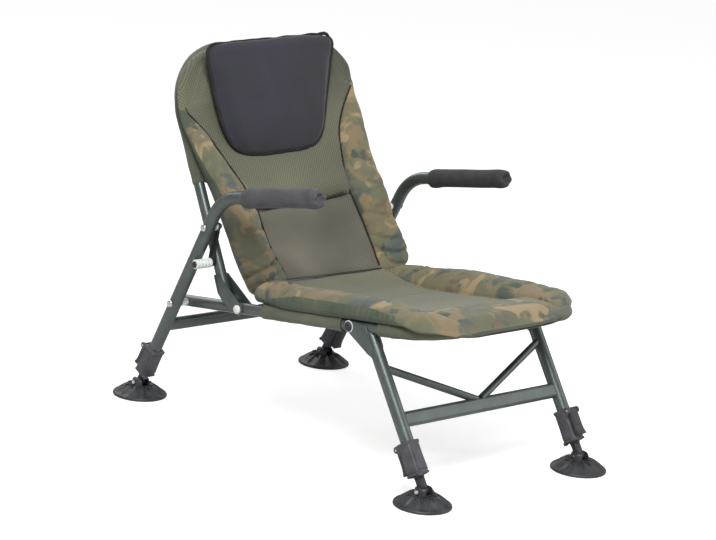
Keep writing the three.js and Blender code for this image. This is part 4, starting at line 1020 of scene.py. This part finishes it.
def read_table(table, at):
    if at <= table[0][0]:
        return list(table[0][1:])
    if at >= table[-1][0]:
        return list(table[-1][1:])
    n = next(i for i in range(1, len(table)) if table[i][0] >= at)
    step = table[n][0] - table[n - 1][0]
    t = (at - table[n - 1][0]) / step
    values = []
    for c in range(1, len(table[0])):
        def slope(k):
            if k <= 0 or k >= len(table) - 1:
                return 0.0
            before = (table[k][c] - table[k - 1][c]) / (table[k][0] - table[k - 1][0])
            after = (table[k + 1][c] - table[k][c]) / (table[k + 1][0] - table[k][0])
            return 0.0 if before * after <= 0 else 2 * before * after / (before + after)
        ends = table[n - 1][c], slope(n - 1) * step, table[n][c], slope(n) * step
        values.append(curve_between(*ends, t))
    return values


def rounded_line(points, counts):
    points = [Vector(point) for point in points]
    heading = []
    for i, point in enumerate(points):
        before = point - points[i - 1] if i else points[1] - point
        after = points[i + 1] - point if i + 1 < len(points) else before
        if before.length < 1e-6 or after.length < 1e-6:
            heading.append((before + after).normalized())
        else:
            heading.append((before / before.length ** 2 + after / after.length ** 2).normalized())
    line = []
    for i, count in enumerate(counts):
        a, b = points[i], points[i + 1]
        reach = (b - a).length
        for k in range(count):
            line.append(curve_between(a, reach * heading[i], b, reach * heading[i + 1], k / count))
    line.append(points[-1])
    return line


def padded_skin(name, stops, section, counts, region, along_face):
    """Rows of closed loops, mirrored in x; section(stop) gives one half of a row,
    from the middle of the face round to the middle of the back"""
    vertices, uvs, loops = [], [], []
    per_half = sum(counts) + 1
    for stop in stops:
        half = rounded_line(section(stop), counts)
        run, runs = 0.0, [0.0]
        for a, b in zip(half, half[1:]):
            run += (b - a).length
            runs.append(run)
        loop = []
        for k in range(per_half):
            loop.append(len(vertices))
            vertices.append(along_face(stop, half[k].x, half[k].y))
            uvs.append((runs[k], stop / 1000))
        for k in range(per_half - 2, 0, -1):
            loop.append(len(vertices))
            vertices.append(along_face(stop, -half[k].x, half[k].y))
            uvs.append((-runs[k], stop / 1000))
        loops.append(loop)
    faces, kinds = [], []
    around = len(loops[0])
    for i in range(len(loops) - 1):
        for k in range(around):
            n = (k + 1) % around
            faces.append((loops[i][k], loops[i][n], loops[i + 1][n], loops[i + 1][k]))
            column = min(k, around - 1 - k)
            kinds.append(region((stops[i] + stops[i + 1]) / 2, column))
    for loop, kind_stop in ((loops[0], stops[0]), (loops[-1], stops[-1])):
        for k in range(per_half - 1):
            a, b = loop[k], loop[k + 1]
            c = loop[-k - 1] if k + 1 <= per_half - 2 else loop[per_half - 1]
            d = loop[-k] if k else loop[0]
            corners = [a, b, c, d]
            corners = [v for n, v in enumerate(corners) if v not in corners[:n]]
            if len(corners) > 2:
                faces.append(tuple(corners))
                kinds.append(region(kind_stop, per_half))
    data = bpy.data.meshes.new(name)
    data.from_pydata(vertices, [], faces)
    layer = data.uv_layers.new(name="cloth")
    for face, kind in zip(data.polygons, kinds):
        face.material_index = kind
        face.use_smooth = True
        for loop, vertex in zip(face.loop_indices, face.vertices):
            layer.data[loop].uv = uvs[vertex]
    piece = place_mesh(name, data)
    weld(piece, 0.00001)
    return piece


def crumple_skin(piece, amount):
    data = piece.data
    data.update()
    moves = [vertex.normal * amount(vertex.co) for vertex in data.vertices]
    for vertex, move in zip(data.vertices, moves):
        vertex.co += move
    data.update()


def crease(at, lines, width):
    return sum(depth * bell(at, place, width) for place, depth in lines)


def camouflage(name):
    material, shader, place = cloth_finish(name, srgb("#6f6a52"), 0.88, 0.2)
    link = material.node_tree.links.new
    tint = (*srgb("#746e54"), 1)
    for colour, shift, size, level, soft in (
        ("#646651", (0, 0, 0), (10, 10, 10), 0.50, 0.03),
        ("#837458", (3.1, 1.7, 5.2), (14, 9, 12), 0.575, 0.022),
        ("#545c57", (7.7, 2.9, 0.4), (10, 17, 13), 0.595, 0.020),
        ("#9a8866", (1.3, 8.8, 2.6), (13, 18, 10), 0.612, 0.022),
        ("#6b5f4c", (5.5, 4.1, 9.3), (15, 11, 18), 0.630, 0.020),
        ("#4c5347", (9.1, 6.6, 3.7), (18, 13, 13), 0.640, 0.020),
    ):
        mapping = node_of(material, "ShaderNodeMapping", Location=shift, Scale=size)
        link(place["Object"], mapping.inputs["Vector"])
        patch = noise_of(material, mapping.outputs["Vector"], 1.0, 2.6, Roughness=0.55, Distortion=0.45)
        cut = range_of(material, patch, From_Min=level - soft, From_Max=level + soft)
        tint = mixed(material, cut, tint, (*srgb(colour), 1), "MIX")
    wear = noise_of(material, place["Object"], 26, 4.0)
    fade = range_of(material, wear, To_Min=0.80, To_Max=1.14)
    link(mixed(material, 1.0, tint, fade), shader.inputs["Base Color"])
    weave = noise_of(material, place["Object"], 900, 1.0)
    relief = bump_of(material, weave, 0.25, 0.0003)
    rumple = noise_of(material, place["Object"], 30, 3.0)
    link(bump_of(material, rumple, 0.5, 0.0022, relief), shader.inputs["Normal"])
    return material


def spacer_mesh(name, dark, light, pitch, painted_shade_from=None, cloudy=0.14):
    """Open knitted mesh; when an x is given, its upper corner beyond that x is darkened with painted shade, the
    pillow's shadow on the far wing
    """
    material, shader, place = cloth_finish(name, light, 0.82, 0.3, 0.4)
    link = material.node_tree.links.new
    threads = []
    for direction in (1, -1):
        mapping = node_of(material, "ShaderNodeMapping", Rotation=(0, 0, direction * math.radians(40)))
        link(place["UV"], mapping.inputs["Vector"])
        threads.append(waves_of(material, mapping.outputs["Vector"], pitch))
    weave = combined(material, "MULTIPLY", *threads)
    # Soft random patches scale the tone up and down by cloudy. A large cloudy also paints soft shade over a panel.
    patch = noise_of(material, place["Object"], 6, 1.5)
    fade = range_of(material, patch, From_Min=0.30, From_Max=0.70, To_Min=1 - cloudy, To_Max=1 + 0.7 * cloudy)
    tint = mixed(material, 1.0, ramp_of(material, weave, (0.05, light), (0.75, dark)), fade)
    # Painted shade: beyond the given x and between 0.62 and 0.73 m up, the tint is multiplied down towards 0.55.
    # This stands for the pillow's shadow on the far wing.
    if painted_shade_from:
        axes = node_of(material, "ShaderNodeSeparateXYZ")
        link(place["Object"], axes.inputs["Vector"])
        painted_shade_masks = [
            range_of(material, axes.outputs[axis], interpolation_type="SMOOTHSTEP", From_Min=low, From_Max=high)
            for axis, low, high in (("X", painted_shade_from, painted_shade_from + 0.07), ("Z", 0.62, 0.73))
        ]
        tint = mixed(material, combined(material, "MULTIPLY", *painted_shade_masks), tint, (0.55, 0.55, 0.56, 1))
    link(tint, shader.inputs["Base Color"])
    link(bump_of(material, weave, 0.5, 0.0009, invert=True), shader.inputs["Normal"])
    return material


camo_cloth = camouflage("camo_cloth")
side_cloth = woven("side_cloth", srgb("#3f4a39"), srgb("#566049"))
seat_mesh = spacer_mesh("seat_mesh", srgb("#565649"), srgb("#7a7a65"), 0.0042)
edge_binding = woven("edge_binding", srgb("#3a3d31"), srgb("#4b4e3e"))
half_shape = [8, 8, 3, 3, 3, 6, 5, 5, 6, 4, 5, 4, 3, 4, 3, 3]
seam_column = sum(half_shape[:4])
side_column = sum(half_shape[:10])
seat_finishes = (camo_cloth, seat_mesh, side_cloth, edge_binding)
seat_camo, seat_panel, seat_side, seat_binding = range(4)
seat_table = [
    (24, 59, 51, 50), (40, 60, 50, 48), (62, 60, 44, 40), (83, 60, 37, 31), (106, 60, 30, 26),
    (130, 59, 24, 22), (170, 59, 18, 20), (210, 59, 16, 18), (300, 58, 16, 18), (380, 57, 16, 19),
    (424, 54, 18, 21), (450, 48, 22, 25), (485, 42, 26, 33), (520, 35, 24, 32), (545, 29, 21, 29),
    (560, 24, 18, 25), (573, 18, 14, 19), (582, 13, 11, 14), (588, 10, 8, 10), (592, 7, 6, 7),
]
seat_width = [(24, 221), (60, 231), (100, 242), (135, 249), (170, 252), (470, 252)]
front_roll_from = 462
nose_from, nose_length, nose_radius = 470, 122, 108


def seat_cushion_half(along):
    if along <= nose_from:
        return read_table(seat_width, along)[0]
    into = nose_radius * (along - nose_from) / nose_length
    return 144 + math.sqrt(max(0, nose_radius ** 2 - into ** 2))


def seat_section(along):
    crest, seam, middle = read_table(seat_table, along)
    wide = seat_cushion_half(along)
    bottom = 14.8 if along < 560 else 14.8 - 11.8 * ((along - 560) / 32) ** 1.5
    seam_x = min(wide - 112 + max(0, 264 - wide) * 0.9, wide - 30)
    crest_x = max(seam_x + (wide - seam_x) * 0.5, seam_x + 10)
    lift, thick = crest - seam, crest - bottom
    climb, edge = crest_x - seam_x, wide - crest_x
    middle -= 3.6 * bell(along, 428, 5) + 2.6 * bell(along, 208, 6) + 3.2 * bell(along, front_roll_from, 7)
    return [(x / 1000, n / 1000) for x, n in (
        (0, middle), (0.5 * seam_x, middle), (seam_x - 15, 0.6 * middle + 0.4 * seam + 0.4),
        (seam_x - 3, seam + 0.4), (seam_x, seam - 1.6), (seam_x + 3.5, seam + 0.16 * lift + 0.6),
        (seam_x + 0.42 * climb, seam + 0.74 * lift), (seam_x + 0.78 * climb, seam + 0.96 * lift),
        (crest_x + 0.18 * edge, crest), (wide - 0.42 * edge, bottom + 0.93 * thick),
        (wide - 0.11 * edge, bottom + 0.70 * thick), (wide, bottom + 0.44 * thick),
        (wide - 2, bottom + 0.18 * thick + 0.6), (wide - 9, bottom + 0.4), (wide - 40, bottom),
        (0.5 * wide, bottom), (0, bottom),
    )]


def seat_region(along, column):
    if along > 584 or column > sum(half_shape):
        return seat_binding
    if column < seam_column:
        return seat_panel if along < front_roll_from else seat_camo
    wrap = max(unit((175 - along) / 135), min(1, (along - 478) / 6))
    return seat_camo if column < side_column + 10 * wrap else seat_side


def seat_point(along, x, n):
    lean = 1 - min(1, (along - 24) / 90)
    if x > 0.13:
        slump = 0.0055 * unit((230 - along) / 110) + 0.0070 * bell(along, 385, 75)
        n -= slump * min(1, (x - 0.13) / 0.04) * unit((n - 0.02) / 0.02)
    return Vector((x, -(along / 1000 + 0.022 * lean ** 1.5 * (max(0, n * 1000 - 15) / 45) ** 2.4), n))


seat_stops = [24 + 1.8 * i for i in range(76)] + [160 + 3.2 * i for i in range(126)]
seat_stops += [560 + i * 2.5 for i in range(1, 12)] + [589, 590.5, 591.5, 592]
seat_stops = sorted(set(round(stop, 2) for stop in seat_stops if stop <= 560 or stop > 561))
seat_cushion = padded_skin("seat_cushion", seat_stops, seat_section, half_shape, seat_region, seat_point)
seat_folds = [(0.048, 0.0076), (0.076, 0.0048), (0.104, 0.0062), (0.146, 0.0030)]
seat_cross_folds = [(0.066, 0.0040), (0.126, 0.0036), (0.172, 0.0022)]
seat_soft_folds = [
    (0.225, 0.0015), (0.296, 0.0011), (0.352, 0.0014), (0.418, 0.0032),
    (0.452, 0.0018), (0.505, 0.0022), (0.548, 0.0014),
]
front_gathers = [
    (-0.118, 0.0020), (-0.085, 0.0012), (-0.030, 0.0008), (0.012, 0.0014),
    (0.062, 0.0010), (0.112, 0.0020), (0.138, 0.0016),
]


def seat_crumple(point):
    x, along, n = abs(point.x), -point.y, point.z
    side = 1 if point.x > 0 else -1
    out = unit((x - 0.135) / 0.03)
    top = unit((n - 0.018) / 0.012)
    wander = 0.009 * rough(x * 17, along * 10, side * 4 + n * 14)
    uneven = 0.55 + 0.9 * rough(x * 30 + side * 3, along * 22, 4)
    inner = max(0, x - 0.15)
    folds = crease(along - 0.16 * inner + wander, seat_folds, 0.0050) * (0.6 + uneven)
    folds += crease(along + 0.42 * inner + 2.0 * wander, seat_cross_folds, 0.0034) * uneven
    folds *= 1 - 0.75 * unit((x - 0.215) / 0.03)
    swell = 0.0030 * bell(along, 0.08, 0.045)
    fan_far = along - 0.22 * (x - 0.2) + 0.010 * rough(x * 18, along * 12, side * 9)
    soft_folds = crease(fan_far, seat_soft_folds, 0.0080)
    low = 0.0014 * rough(point.x * 13, along * 13, n * 16 + 2)
    fine = 0.0007 * rough(point.x * 42, along * 42, n * 42)
    side_band = unit((x - 0.236) / 0.012) * unit((0.052 - n) / 0.012) * top
    side_wave = 0.5 + 0.5 * math.sin(along * 380 + 3 * rough(along * 12, 3, side))
    gather = -0.0016 * side_band * side_wave * unit((along - 0.30) / 0.08)
    front = unit((along - 0.47) / 0.03) * (1 - out)
    front_gather = crease(point.x + 0.004 * rough(x * 20, along * 9, 1), front_gathers, 0.007)
    pucker = -0.0050 * bell(x, 0.152, 0.010) * bell(along, 0.47, 0.016)
    pucker -= 0.0080 * bell(x, 0.192, 0.013) * bell(along, 0.482, 0.010)
    pucker -= 0.0034 * bell(along - 0.25 * (x - 0.19), 0.478, 0.0050) * unit((x - 0.16) / 0.02)
    pucker += 0.0030 * bell(x, 0.20, 0.035) * bell(along, 0.515, 0.022)
    on_top = out * (swell - folds - soft_folds) + low + fine - front * front_gather + pucker
    return top * on_top + gather


crumple_skin(seat_cushion, seat_crumple)
corner_cut = [(0, 0), (60, 3), (100, 10), (148, 25), (200, 34), (230, 25), (246, 8), (254, 0)]
for vertex in seat_cushion.data.vertices:
    x, along = abs(vertex.co.x), -vertex.co.y
    beyond_x, beyond_y = x - (rail_x - seat_bend), along - (sheet_end - seat_bend)
    beyond = math.hypot(max(0, beyond_x), max(0, beyond_y)) - seat_bend if beyond_y > 0 else -1
    hang = unit((beyond - 0.004) / 0.026) * unit((along - 0.47) / 0.06)
    far_side = unit((vertex.co.x - 0.10) / 0.10)
    vertex.co.z -= (0.0135 - 0.0050 * far_side) * eased(hang)
    if vertex.co.x > 0 and along > 0.470:
        reach = 0.122 * math.sqrt(max(0.02, 1 - (max(0, vertex.co.x - 0.144) / 0.108) ** 2))
        cut = read_table(corner_cut, vertex.co.x * 1000)[0] / 1000
        vertex.co.y += cut * min(1, (along - 0.470) / reach) ** 2
seat_cushion.data.update()
finish_piece(seat_cushion, seat_place, "seat", seat_finishes, "cover_cloth", "seat_pad")
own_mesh(seat_cushion)

# ---------------------------------------------------------------- Back cushion
# Sewn like the seat cushion: two stuffed camouflage rolls that taper up the sides, mesh
# panels between them, mesh shoulders above and dark piping in the seams.
back_table = [
    (24, 178, 182, -57, 132, -47, -50), (32, 191, 192, -63, 135, -50, -52), (40, 198, 199, -66, 137, -51, -52),
    (64, 204, 205, -67, 139, -46, -47), (89, 207, 208, -65, 142, -40, -39), (120, 208, 209, -64, 144, -33, -30),
    (150, 207, 208, -62, 145, -27, -25), (185, 211, 209, -59, 143, -20, -17), (203, 213, 210, -56, 141, -17, -8),
    (211, 214, 211, -54, 141, -14, 3), (219, 215, 211, -52, 142, -14, -8), (236, 217, 212, -47, 144, -11, -12),
    (270, 222, 214, -36, 150, -5, -6), (316, 233, 219, -21, 164, 5, 6), (356, 241, 228, -10, 177, 12, 13),
    (385, 246, 235, -4, 191, 14, 14), (403, 249, 240, 1, 202, 14, 14), (425, 252, 246, 8, 218, 15, 14),
    (440, 254, 249, 11, 230, 15, 13), (458, 256, 251, 13, 243, 15, 11), (468, 257, 251, 14, 246, 15, 10),
    (480, 256, 243, 15, 226, 14, 9), (500, 253, 239, 15, 215, 12, 7), (518, 247, 233, 15, 205, 11, 6),
    (540, 232, 218, 15, 190, 11, 6), (560, 212, 197, 14, 172, 11, 7), (575, 191, 177, 12, 152, 12, 12),
    (585, 169, 156, 12, 134, 12, 12), (591, 146, 134, 14, 115, 14, 14), (594, 122, 112, 16, 96, 16, 16),
    (595, 98, 90, 18, 76, 18, 18),
]
bolster_top = 468
panel_seam = 211
# The upper mesh has painted shade on its far upper corner, past x = 0.12, for the pillow's shadow.
upper_mesh = spacer_mesh("upper_mesh", srgb("#434438"), srgb("#6f705c"), 0.0052, painted_shade_from=0.12)
# The lumbar mesh's strong patches (cloudy 0.34) are partly random tone and partly painted shade. They give soft
# dark and light areas for the shading of the hollow panel.
lumbar_mesh = spacer_mesh("lumbar_mesh", srgb("#45433a"), srgb("#6e6a5d"), 0.0040, cloudy=0.34)
back_finishes = (camo_cloth, upper_mesh, lumbar_mesh, side_cloth)
back_camo, back_upper, back_lumbar, back_side = range(4)


def back_section(height):
    half, crest_x, crest, seam_x, seam, middle = read_table(back_table, height)
    fade = unit((bolster_top + 10 - height) / 60)
    rear = 27
    bulge_x = half + 1.5 + 7.5 * fade
    lift, thick = seam - crest, rear - crest
    climb = crest_x - seam_x
    rim = 15 + 4 * (1 - fade)
    return [(x / 1000, d / 1000) for x, d in (
        (0, middle), (0.5 * seam_x, middle), (seam_x - 13, 0.6 * middle + 0.4 * seam), (seam_x - 3, seam - 0.3),
        (seam_x, seam + 1.6 * fade), (seam_x + 3.5, seam - 0.14 * lift - 0.8 * fade),
        (seam_x + 0.40 * climb, seam - 0.72 * lift), (seam_x + 0.76 * climb, seam - 0.95 * lift),
        (crest_x, crest), (crest_x + 0.72 * (bulge_x - crest_x), crest + 0.14 * thick),
        (bulge_x - 0.2, crest + 0.34 * thick), (half + 0.7 * (bulge_x - half), crest + 0.60 * thick),
        (half + 0.8, min(rim, rear - 5)), (half - 1, rear - 3), (half - 12, rear), (0.5 * half, rear), (0, rear),
    )]


def back_region(height, column):
    if column < seam_column:
        return back_upper if height > panel_seam else back_lumbar
    if height > bolster_top:
        return back_upper
    wrap = unit((235 - height) / 50)
    return back_camo if column < side_column + 13 * wrap else back_side


def seam_rise(x):
    """The panel seam climbs a few millimetres towards the left"""
    return 0.0008 * max(0, min(9, (x * 1000 - 45) / 9))


def back_point(height, x, d):
    lean = 1 - min(1, (height - 24) / 80)
    forward = unit((27 - d * 1000) / 95)
    slant = 0.05 * unit((height - 150) / 110) + 0.015 * unit((height - 440) / 60)
    rise = height / 1000 + 0.004 * lean * forward + slant * x + seam_rise(x) * bell(height, panel_seam, 40)
    if abs(x) > 0.145:
        x += 0.012 * min(1, (abs(x) - 0.145) / 0.04) * unit((150 - height) / 90)
    over = unit((height - 440) / 70) * unit((30 - d * 1000) / 16)
    return Vector((x + 0.016 * eased(over), d, rise))


back_stops = [24, 25, 27] + [29 + 1.8 * i for i in range(73)] + [162 + 3.2 * i for i in range(128)]
back_stops += [571 + 3 * i for i in range(6)] + [588, 590, 592, 593.3, 594.3, 595]
back_cushion = padded_skin("back_cushion", back_stops, back_section, half_shape, back_region, back_point)
back_folds = [(0.040, 0.0040), (0.066, 0.0090), (0.096, 0.0052), (0.150, 0.0044)]
back_cross_folds = [(0.082, 0.0044), (0.128, 0.0034), (0.178, 0.0024)]
back_soft_folds = [(0.215, 0.0018), (0.256, 0.0016), (0.304, 0.0010), (0.352, 0.0010)]


def back_crumple(point):
    x, d, height = abs(point.x), point.y, point.z
    side = 1 if point.x > 0 else -1
    seam_x = read_table(back_table, height * 1000)[3] / 1000
    out = unit((x - seam_x) / 0.02)
    front = unit((0.022 - d) / 0.012)
    roll = unit((0.47 - height) / 0.1)
    inward = max(0, 0.200 - x)
    wander = 0.010 * rough(x * 17, height * 9, side * 5 + d * 12)
    uneven = 0.55 + 0.9 * rough(x * 28 + side * 5, height * 20, 8)
    folds = crease(height - 0.34 * inward + wander, back_folds, 0.0052) * (0.6 + uneven)
    folds += crease(height + 0.30 * inward + 2.0 * wander, back_cross_folds, 0.0036) * uneven
    folds *= 1 - 0.75 * unit((x - 0.196) / 0.02)
    swell = 0.0030 * bell(height, 0.072, 0.045)
    fan_far = height - 0.30 * (x - 0.19) + 0.010 * rough(x * 16, height * 12, side * 8)
    soft_folds = crease(fan_far, back_soft_folds, 0.009)
    low = 0.0016 * rough(point.x * 10, d * 14 + 7, height * 10)
    fine = 0.0006 * rough(point.x * 40, d * 40, height * 40)
    seam_height = height - 0.0275 * point.x - seam_rise(point.x)
    seams = -0.0030 * (1 - out) * bell(seam_height, panel_seam / 1000, 0.0040) * (1 if d < 0.02 else 0)
    hollow = bell(height + 0.72 * (point.x + 0.118), 0.128, 0.034) * unit((0.19 - height) / 0.06)
    panels = (1 - out) * (0.0050 * bell(height, 0.250, 0.030) - 0.0060 * hollow)
    return front * (out * roll * (swell - folds - soft_folds) + low + fine + panels) + seams


crumple_skin(back_cushion, back_crumple)
finish_piece(back_cushion, back_place, "back", back_finishes, "cover_cloth", "back_pad")
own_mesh(back_cushion)

# ---------------------------------------------------------------- Back piping
# Thin black cord covered in cloth, sewn into the seams round the mesh panels and over
# the top of the side rolls.
piping_cloth, shader = new_finish("piping_cloth", srgb("#1c1a1b"), 0.85)
mottled(piping_cloth, shader, (srgb("#151415"), srgb("#262326")), 60, (0.78, 0.92), 0.3, 0.0003)


def soft_cord(name, points, radius, sides=10):
    points = [Vector(point) for point in points]
    vertices, faces = [], []
    for i, point in enumerate(points):
        ahead = (points[min(i + 1, len(points) - 1)] - points[max(i - 1, 0)]).normalized()
        side_way = ahead.cross(Vector((0, 1, 0.01))).normalized()
        up_way = side_way.cross(ahead).normalized()
        ring = radius * (1 if 0 < i < len(points) - 1 else 0.35)
        for k in range(sides):
            a = 2 * math.pi * k / sides
            vertices.append(point + side_way * ring * math.cos(a) + up_way * ring * math.sin(a))
    for i in range(len(points) - 1):
        for k in range(sides):
            n = (k + 1) % sides
            faces.append((i * sides + k, i * sides + n, (i + 1) * sides + n, (i + 1) * sides + k))
    faces.append(tuple(range(sides)))
    faces.append(tuple((len(points) - 1) * sides + k for k in range(sides)))
    data = bpy.data.meshes.new(name)
    data.from_pydata(vertices, [], faces)
    for face in data.polygons:
        face.use_smooth = len(face.vertices) == 4
    cord = place_mesh(name, data)
    weld(cord)
    return cord


for side, sign in both_sides:
    run = []
    for i in range(122):
        height = 41 + 3.5 * i
        half, crest_x, crest, seam_x, seam, middle = read_table(back_table, min(height, 464))
        lift = unit((height - 420) / 45)
        flank = 0 if sign > 0 else unit((430 - height) / 60) * unit((height - 112) / 50)
        out = seam_x + 0.6 + 2.0 * lift + 0.34 * (crest_x - seam_x) * flank
        depth = seam - 0.4 + (crest - seam) * (0.5 * lift + 0.70 * flank)
        run.append(back_point(height, sign * out / 1000, depth / 1000))
    cord = soft_cord(f"roll_piping_{side}", run, 0.0019)
    finish_piece(cord, back_place, "back", piping_cloth, "cover_cloth")
    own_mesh(cord)
across = []
half, crest_x, crest, seam_x, seam, middle = read_table(back_table, panel_seam)
for i in range(61):
    x = -141 + 282 * i / 60
    edge_share = max(0, (abs(x) - 0.5 * seam_x) / (0.5 * seam_x))
    depth = middle + (seam - middle) * edge_share ** 1.6 + 0.6
    across.append(back_point(panel_seam, x / 1000, depth / 1000))
cord = soft_cord("panel_piping", across, 0.0015)
finish_piece(cord, back_place, "back", piping_cloth, "cover_cloth")
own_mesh(cord)

# ---------------------------------------------------------------- Head pillow
# A flat fleece-covered pillow, wider at the top, that lies on the head of the back.
# Two panels are sewn together round a thick black piping.
pillow_table = [
    (336, 66, 8), (338, 88, 8), (342, 106, 8), (349, 123, 8), (359, 137, 7), (372, 147, 5), (388, 155, 3),
    (405, 161, 0), (440, 168, -4), (480, 175, -11), (520, 180, -19), (548, 184, -24), (562, 184, -27),
    (571, 180, -27), (577, 172, -27), (581, 160, -26), (583, 144, -26),
]
pillow_foot, pillow_head = 336, 583
pillow_centre = 0.455
pillow_tilt = 0.033


def pillow_section(height):
    half, edge = read_table(pillow_table, height)
    t = (height - pillow_foot) / (pillow_head - pillow_foot)
    low_end = math.sqrt(max(0, 1 - max(0, 1 - t / 0.30) ** 2.2))
    top_end = math.sqrt(max(0, 1 - max(0, 1 - (1 - t) / 0.13) ** 2.4))
    full = min(low_end, top_end)
    rest = read_table(back_table, height)[5] - 1.0
    front = edge - 4.5 - 18 * full - 9 * math.sin(math.pi * min(1, 0.12 + t)) * full
    behind = min(rest, edge + 4.5 + (rest - edge) * full)
    rear = edge + 4
    return [(x / 1000, d / 1000) for x, d in (
        (0, front), (0.42 * half, front + 1.6 * full), (0.70 * half, front + 5.0 * full),
        (0.86 * half, front + 9.5 * full), (0.95 * half, edge - 4.0 - 4.5 * full),
        (0.985 * half, edge - 3.4 - 0.6 * full), (half, edge - 1.4), (half, edge + 1.4),
        (0.985 * half, edge + 3.6), (0.93 * half, rear + (behind - rear) * 0.55 * full),
        (0.80 * half, rear + (behind - rear) * 0.9 * full), (0.5 * half, behind), (0, behind),
    )]


fleece, shader = new_finish("pillow_fleece", srgb("#2a2931"), 1.0)
shader.inputs["Sheen Weight"].default_value = 0.10
shader.inputs["Sheen Roughness"].default_value = 0.5
mottled(fleece, shader, (srgb("#2e2f34"), srgb("#363440")), 9, (0.95, 1.0), 0.55, 0.0009, 6.0)
pillow_back, shader = new_finish("pillow_back", srgb("#1b1a1e"), 0.95)
mottled(pillow_back, shader, (srgb("#151417"), srgb("#201f24")), 30, (0.9, 1.0), 0.3, 0.0005)
pillow_shape = [9, 7, 6, 5, 4, 3, 3, 3, 4, 5, 6, 8]
pillow_front_column = sum(pillow_shape[:6])


def pillow_region(height, column):
    return 0 if column < pillow_front_column else 1


def pillow_point(height, x, d):
    rise = height / 1000 - pillow_centre
    if x > 0:
        x *= 1 - 0.15 * unit((565 - height) / 160)
    across = x * math.cos(pillow_tilt) + rise * math.sin(pillow_tilt)
    return Vector((across, d, pillow_centre + rise * math.cos(pillow_tilt) + x * math.sin(pillow_tilt)))


pillow_stops = [336, 336.6, 337.6, 339, 341, 343.5, 346.5, 350] + [354 + 4 * i for i in range(54)]
pillow_stops += [569, 572, 574.5, 577, 579, 580.5, 582, 583]
pillow = padded_skin("pillow", pillow_stops, pillow_section, pillow_shape, pillow_region, pillow_point)


def pillow_crumple(point):
    x, d, height = point
    low = 0.0022 * rough(x * 9, 3, height * 9)
    fine = 0.0005 * rough(x * 34, d * 34, height * 34)
    return low + fine + 0.0012 * rough(x * 26, 8, height * 26)


crumple_skin(pillow, pillow_crumple)
finish_piece(pillow, back_place, "back", (fleece, pillow_back), "pillow_cloth", "head_pillow")
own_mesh(pillow)
right_side = []
for height in [338, 341, 346, 353, 362] + [374 + 6 * i for i in range(33)] + [571, 575]:
    half, edge = read_table(pillow_table, height)
    right_side.append((half + 1.2 + 0.9 * rough(height * 0.05, 2, 2), edge, height))
head_edge = read_table(pillow_table, pillow_head)[1]
top = []
for x in range(146, -147, -7):
    wave = pillow_head + 0.4 + 2.4 * rough(x * 0.028, 1, 9)
    top.append((x, head_edge + 1.2 * rough(x * 0.03, 5, 5), wave))
foot = [(x, 8, pillow_foot - 0.8 + 0.8 * rough(x * 0.04, 4, 4)) for x in range(-60, 61, 8)]
ear = [(177, -27, 577), (174, -27, 582), (167, -27, 585), (158, -27, 584.5)]
left_turn = [(-156, -27, 583), (-165, -27, 581.5), (-173, -27, 578.5)]
ring = right_side + ear + top + left_turn + [(-x, d, h) for x, d, h in reversed(right_side)] + foot
ring += ring[:2]
cord = soft_cord("pillow_piping", [pillow_point(h, x / 1000, d / 1000) for x, d, h in ring], 0.0040, 12)
finish_piece(cord, back_place, "back", piping_cloth, "cover_cloth")
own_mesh(cord)
